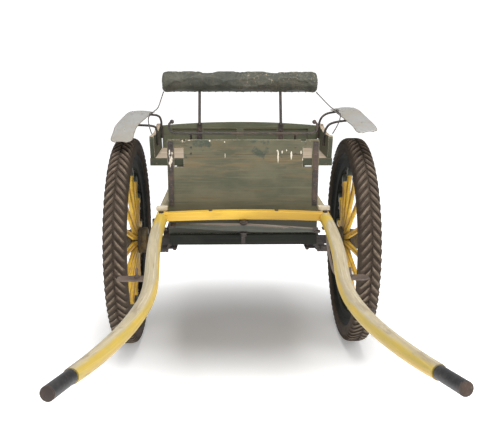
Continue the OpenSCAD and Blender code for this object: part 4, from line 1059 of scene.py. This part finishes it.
# ---------------------------------------------------------------- white paint runs on the dash and the left iron
b = Build()
def drip(x, z0, z1, wd, y, lean=0.0):
    n = 14
    pts = []
    for i in range(n + 1):
        t = i / n
        wdt = wd * (0.35 + 0.75 * math.sin(math.pi * min(1, t * 1.12)) ** 0.7) * (1 + 0.3 * noise.noise((x * 90, t * 5, 3)))
        if t > 0.86:
            wdt *= max(0.12, (1 - t) / 0.14) ** 0.5
        pts.append((x + lean * t + 0.0012 * noise.noise((x * 50, t * 6, 0)), z0 + (z1 - z0) * t, max(0.0006, wdt)))
    V, F = [], []
    for (px, pz, pw) in pts:
        V += [Vector((px - pw, y + YO, pz)), Vector((px - pw * 0.6, y - 0.0007 + YO, pz)), Vector((px + pw * 0.6, y - 0.0007 + YO, pz)), Vector((px + pw, y + YO, pz))]
    for i in range(n):
        for k in range(3):
            a0 = i * 4 + k
            F.append((a0, a0 + 4, a0 + 5, a0 + 1))
    b.add(V, F)
dy = -0.5451
for (x, z0, z1, wd) in ((0.158, 1.151, 1.096, 0.0034), (0.218, 1.149, 1.110, 0.0038), (0.176, 1.152, 1.138, 0.0026), (0.154, 1.156, 1.147, 0.0030), (0.262, 1.152, 1.134, 0.0030), (0.196, 1.158, 1.149, 0.0020), (0.270, 1.118, 1.106, 0.0016),
                        (-0.083, 1.140, 1.118, 0.0014), (-0.275, 1.184, 1.172, 0.0030), (-0.245, 1.184, 1.180, 0.0050), (-0.152, 1.183, 1.176, 0.0034), (-0.085, 1.178, 1.170, 0.0022)):
    drip(x, z0 - (0.017 if z0 < 1.16 else 0), z1 - (0.017 if z0 < 1.16 else 0), wd, dy)
for (x, z0, z1, wd) in ((-0.333, 1.152, 1.110, 0.0032), (-0.325, 1.132, 1.086, 0.0042), (-0.331, 1.112, 1.070, 0.0030), (-0.322, 1.142, 1.128, 0.0024), (-0.336, 1.098, 1.082, 0.0020)):
    drip(x, z0 - 0.012, z1 - 0.012, wd, -0.5491)
make("paint_runs", b.v, b.f, mat["drip"], "cart", (), sharp=None)

# ---------------------------------------------------------------- CAD nodes that stay: materials and rounded edges
FINISH = {
    "axle": ("rust_dark", 0.002), "axle_nuts": ("steel", 0.001), "axle_clips": ("rust_dark", 0.0012), "springs": ("rust_dark", 0.0008),
    "spring_shackles": ("rust", 0.001), "spring_hangers": ("rust", 0.0015), "shaft_tip_left": ("tip", 0.0012), "shaft_tip_right": ("tip", 0.0012),
    "shaft_hook": ("rust", 0), "crossbar": ("crossbar", 0.004), "crossbar_bolts": ("rust", 0.0008), "front_sill": ("dark_green_painted_shade_x", 0.004),
    "centre_strap": ("rust", 0.0012), "floor_boards": ("floor_wood", 0.002), "floor_bearers": ("dark_green_painted_shade_x", 0.003), "dash_board": ("dash", 0.0022),
    "dash_irons": ("rust", 0.0016), "dash_rivets": ("rust", 0), "side_left": ("green_y", 0.0025), "side_right": ("green_y", 0.0025), "side_battens": ("green_z", 0.0025),
    "tailboard": ("green_x", 0.003), "tail_hinges": ("rust_dark", 0.001), "hinge_straps": ("rust", 0.001), "turn_button_left": ("rust", 0.001),
    "turn_button_right": ("rust", 0.001), "seat_board": ("bare", 0.002), "seat_rails": ("green_x", 0.0025), "seat_bearers": ("green_x", 0.0025),
    "seat_end_left": ("seat_end", 0.004), "seat_end_right": ("seat_end", 0.004), "seat_back": ("seat_back", 0.0025), "back_panels": ("seat_back", 0.001),
    "back_irons": ("rust", 0.0012), "roll_core": ("bare", 0), "steps": ("step_iron", 0.0015), "swingletree_irons": ("rust_dark", 0.001),
    "hub_left": ("hub", 0.001), "hub_right": ("hub", 0.001), "hub_cap_left": ("rust_dark", 0.001), "hub_cap_right": ("rust_dark", 0.001),
}
mat["seat_end"] = painted_wood("seat_end_paint", GREEN, BARE, "Y", wear=0.36, edge_wear=0.5, top_wear=0.45, seed=12.0)
mat["seat_back"] = painted_wood("seat_back_paint", [(0.085, 0.095, 0.055), (0.12, 0.125, 0.078), (0.15, 0.15, 0.1)], OCHRE, "X", wear=0.34, edge_wear=0.3, seed=13.0)
mat["step_iron"] = iron("step_iron", dark=(0.10, 0.075, 0.062), rust=(0.17, 0.125, 0.10), pale=(0.26, 0.21, 0.18), amt=0.5, seed=14.0)
for node, (mname, width) in FINISH.items():
    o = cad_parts[node]
    for s in range(max(1, len(o.material_slots))):
        if len(o.material_slots) == 0:
            o.data.materials.append(mat[mname])
        else:
            o.material_slots[s].material = mat[mname]
    if width:
        wl = o.modifiers.new("weld", "WELD")
        wl.merge_threshold = 0.00002
        bv = o.modifiers.new("bevel", "BEVEL")
        bv.width = width
        bv.segments = 2
        bv.limit_method = "ANGLE"
        bv.angle_limit = math.radians(40)
        bv.harden_normals = False
        wn = o.modifiers.new("normals", "WEIGHTED_NORMAL")
        wn.keep_sharp = False
        wn.weight = 80

# ---------------------------------------------------------------- floor
fm = Mat("studio_floor", 0.95, spec=0.0)
fx, fy, fz = fm.xyz(fm.obj())
fd = fm.math("SQRT", fm.math("ADD", fm.math("POWER", fx, 2.0), fm.math("POWER", fm.math("MULTIPLY", fm.math("SUBTRACT", fy, 0.85), 1.15), 2.0)))
fc = fm.mix(fm.noise(fm.obj(), 0.6, 2), (0.90, 0.90, 0.90), (0.92, 0.92, 0.92))
fm.b.inputs["Emission Color"].default_value = (1, 1, 1, 1)
fm.put(fm.b.inputs["Emission Strength"], fm.math("MULTIPLY_ADD", fm.step(fd, 0.25, 1.5), 0.75, 0.08))
fm.done(fc)
V = [(-30, -30, -0.001), (30, -30, -0.001), (30, 30, -0.001), (-30, 30, -0.001)]
floor = make("floor", V, [(0, 1, 2, 3)], fm.mat, None, smooth=False)
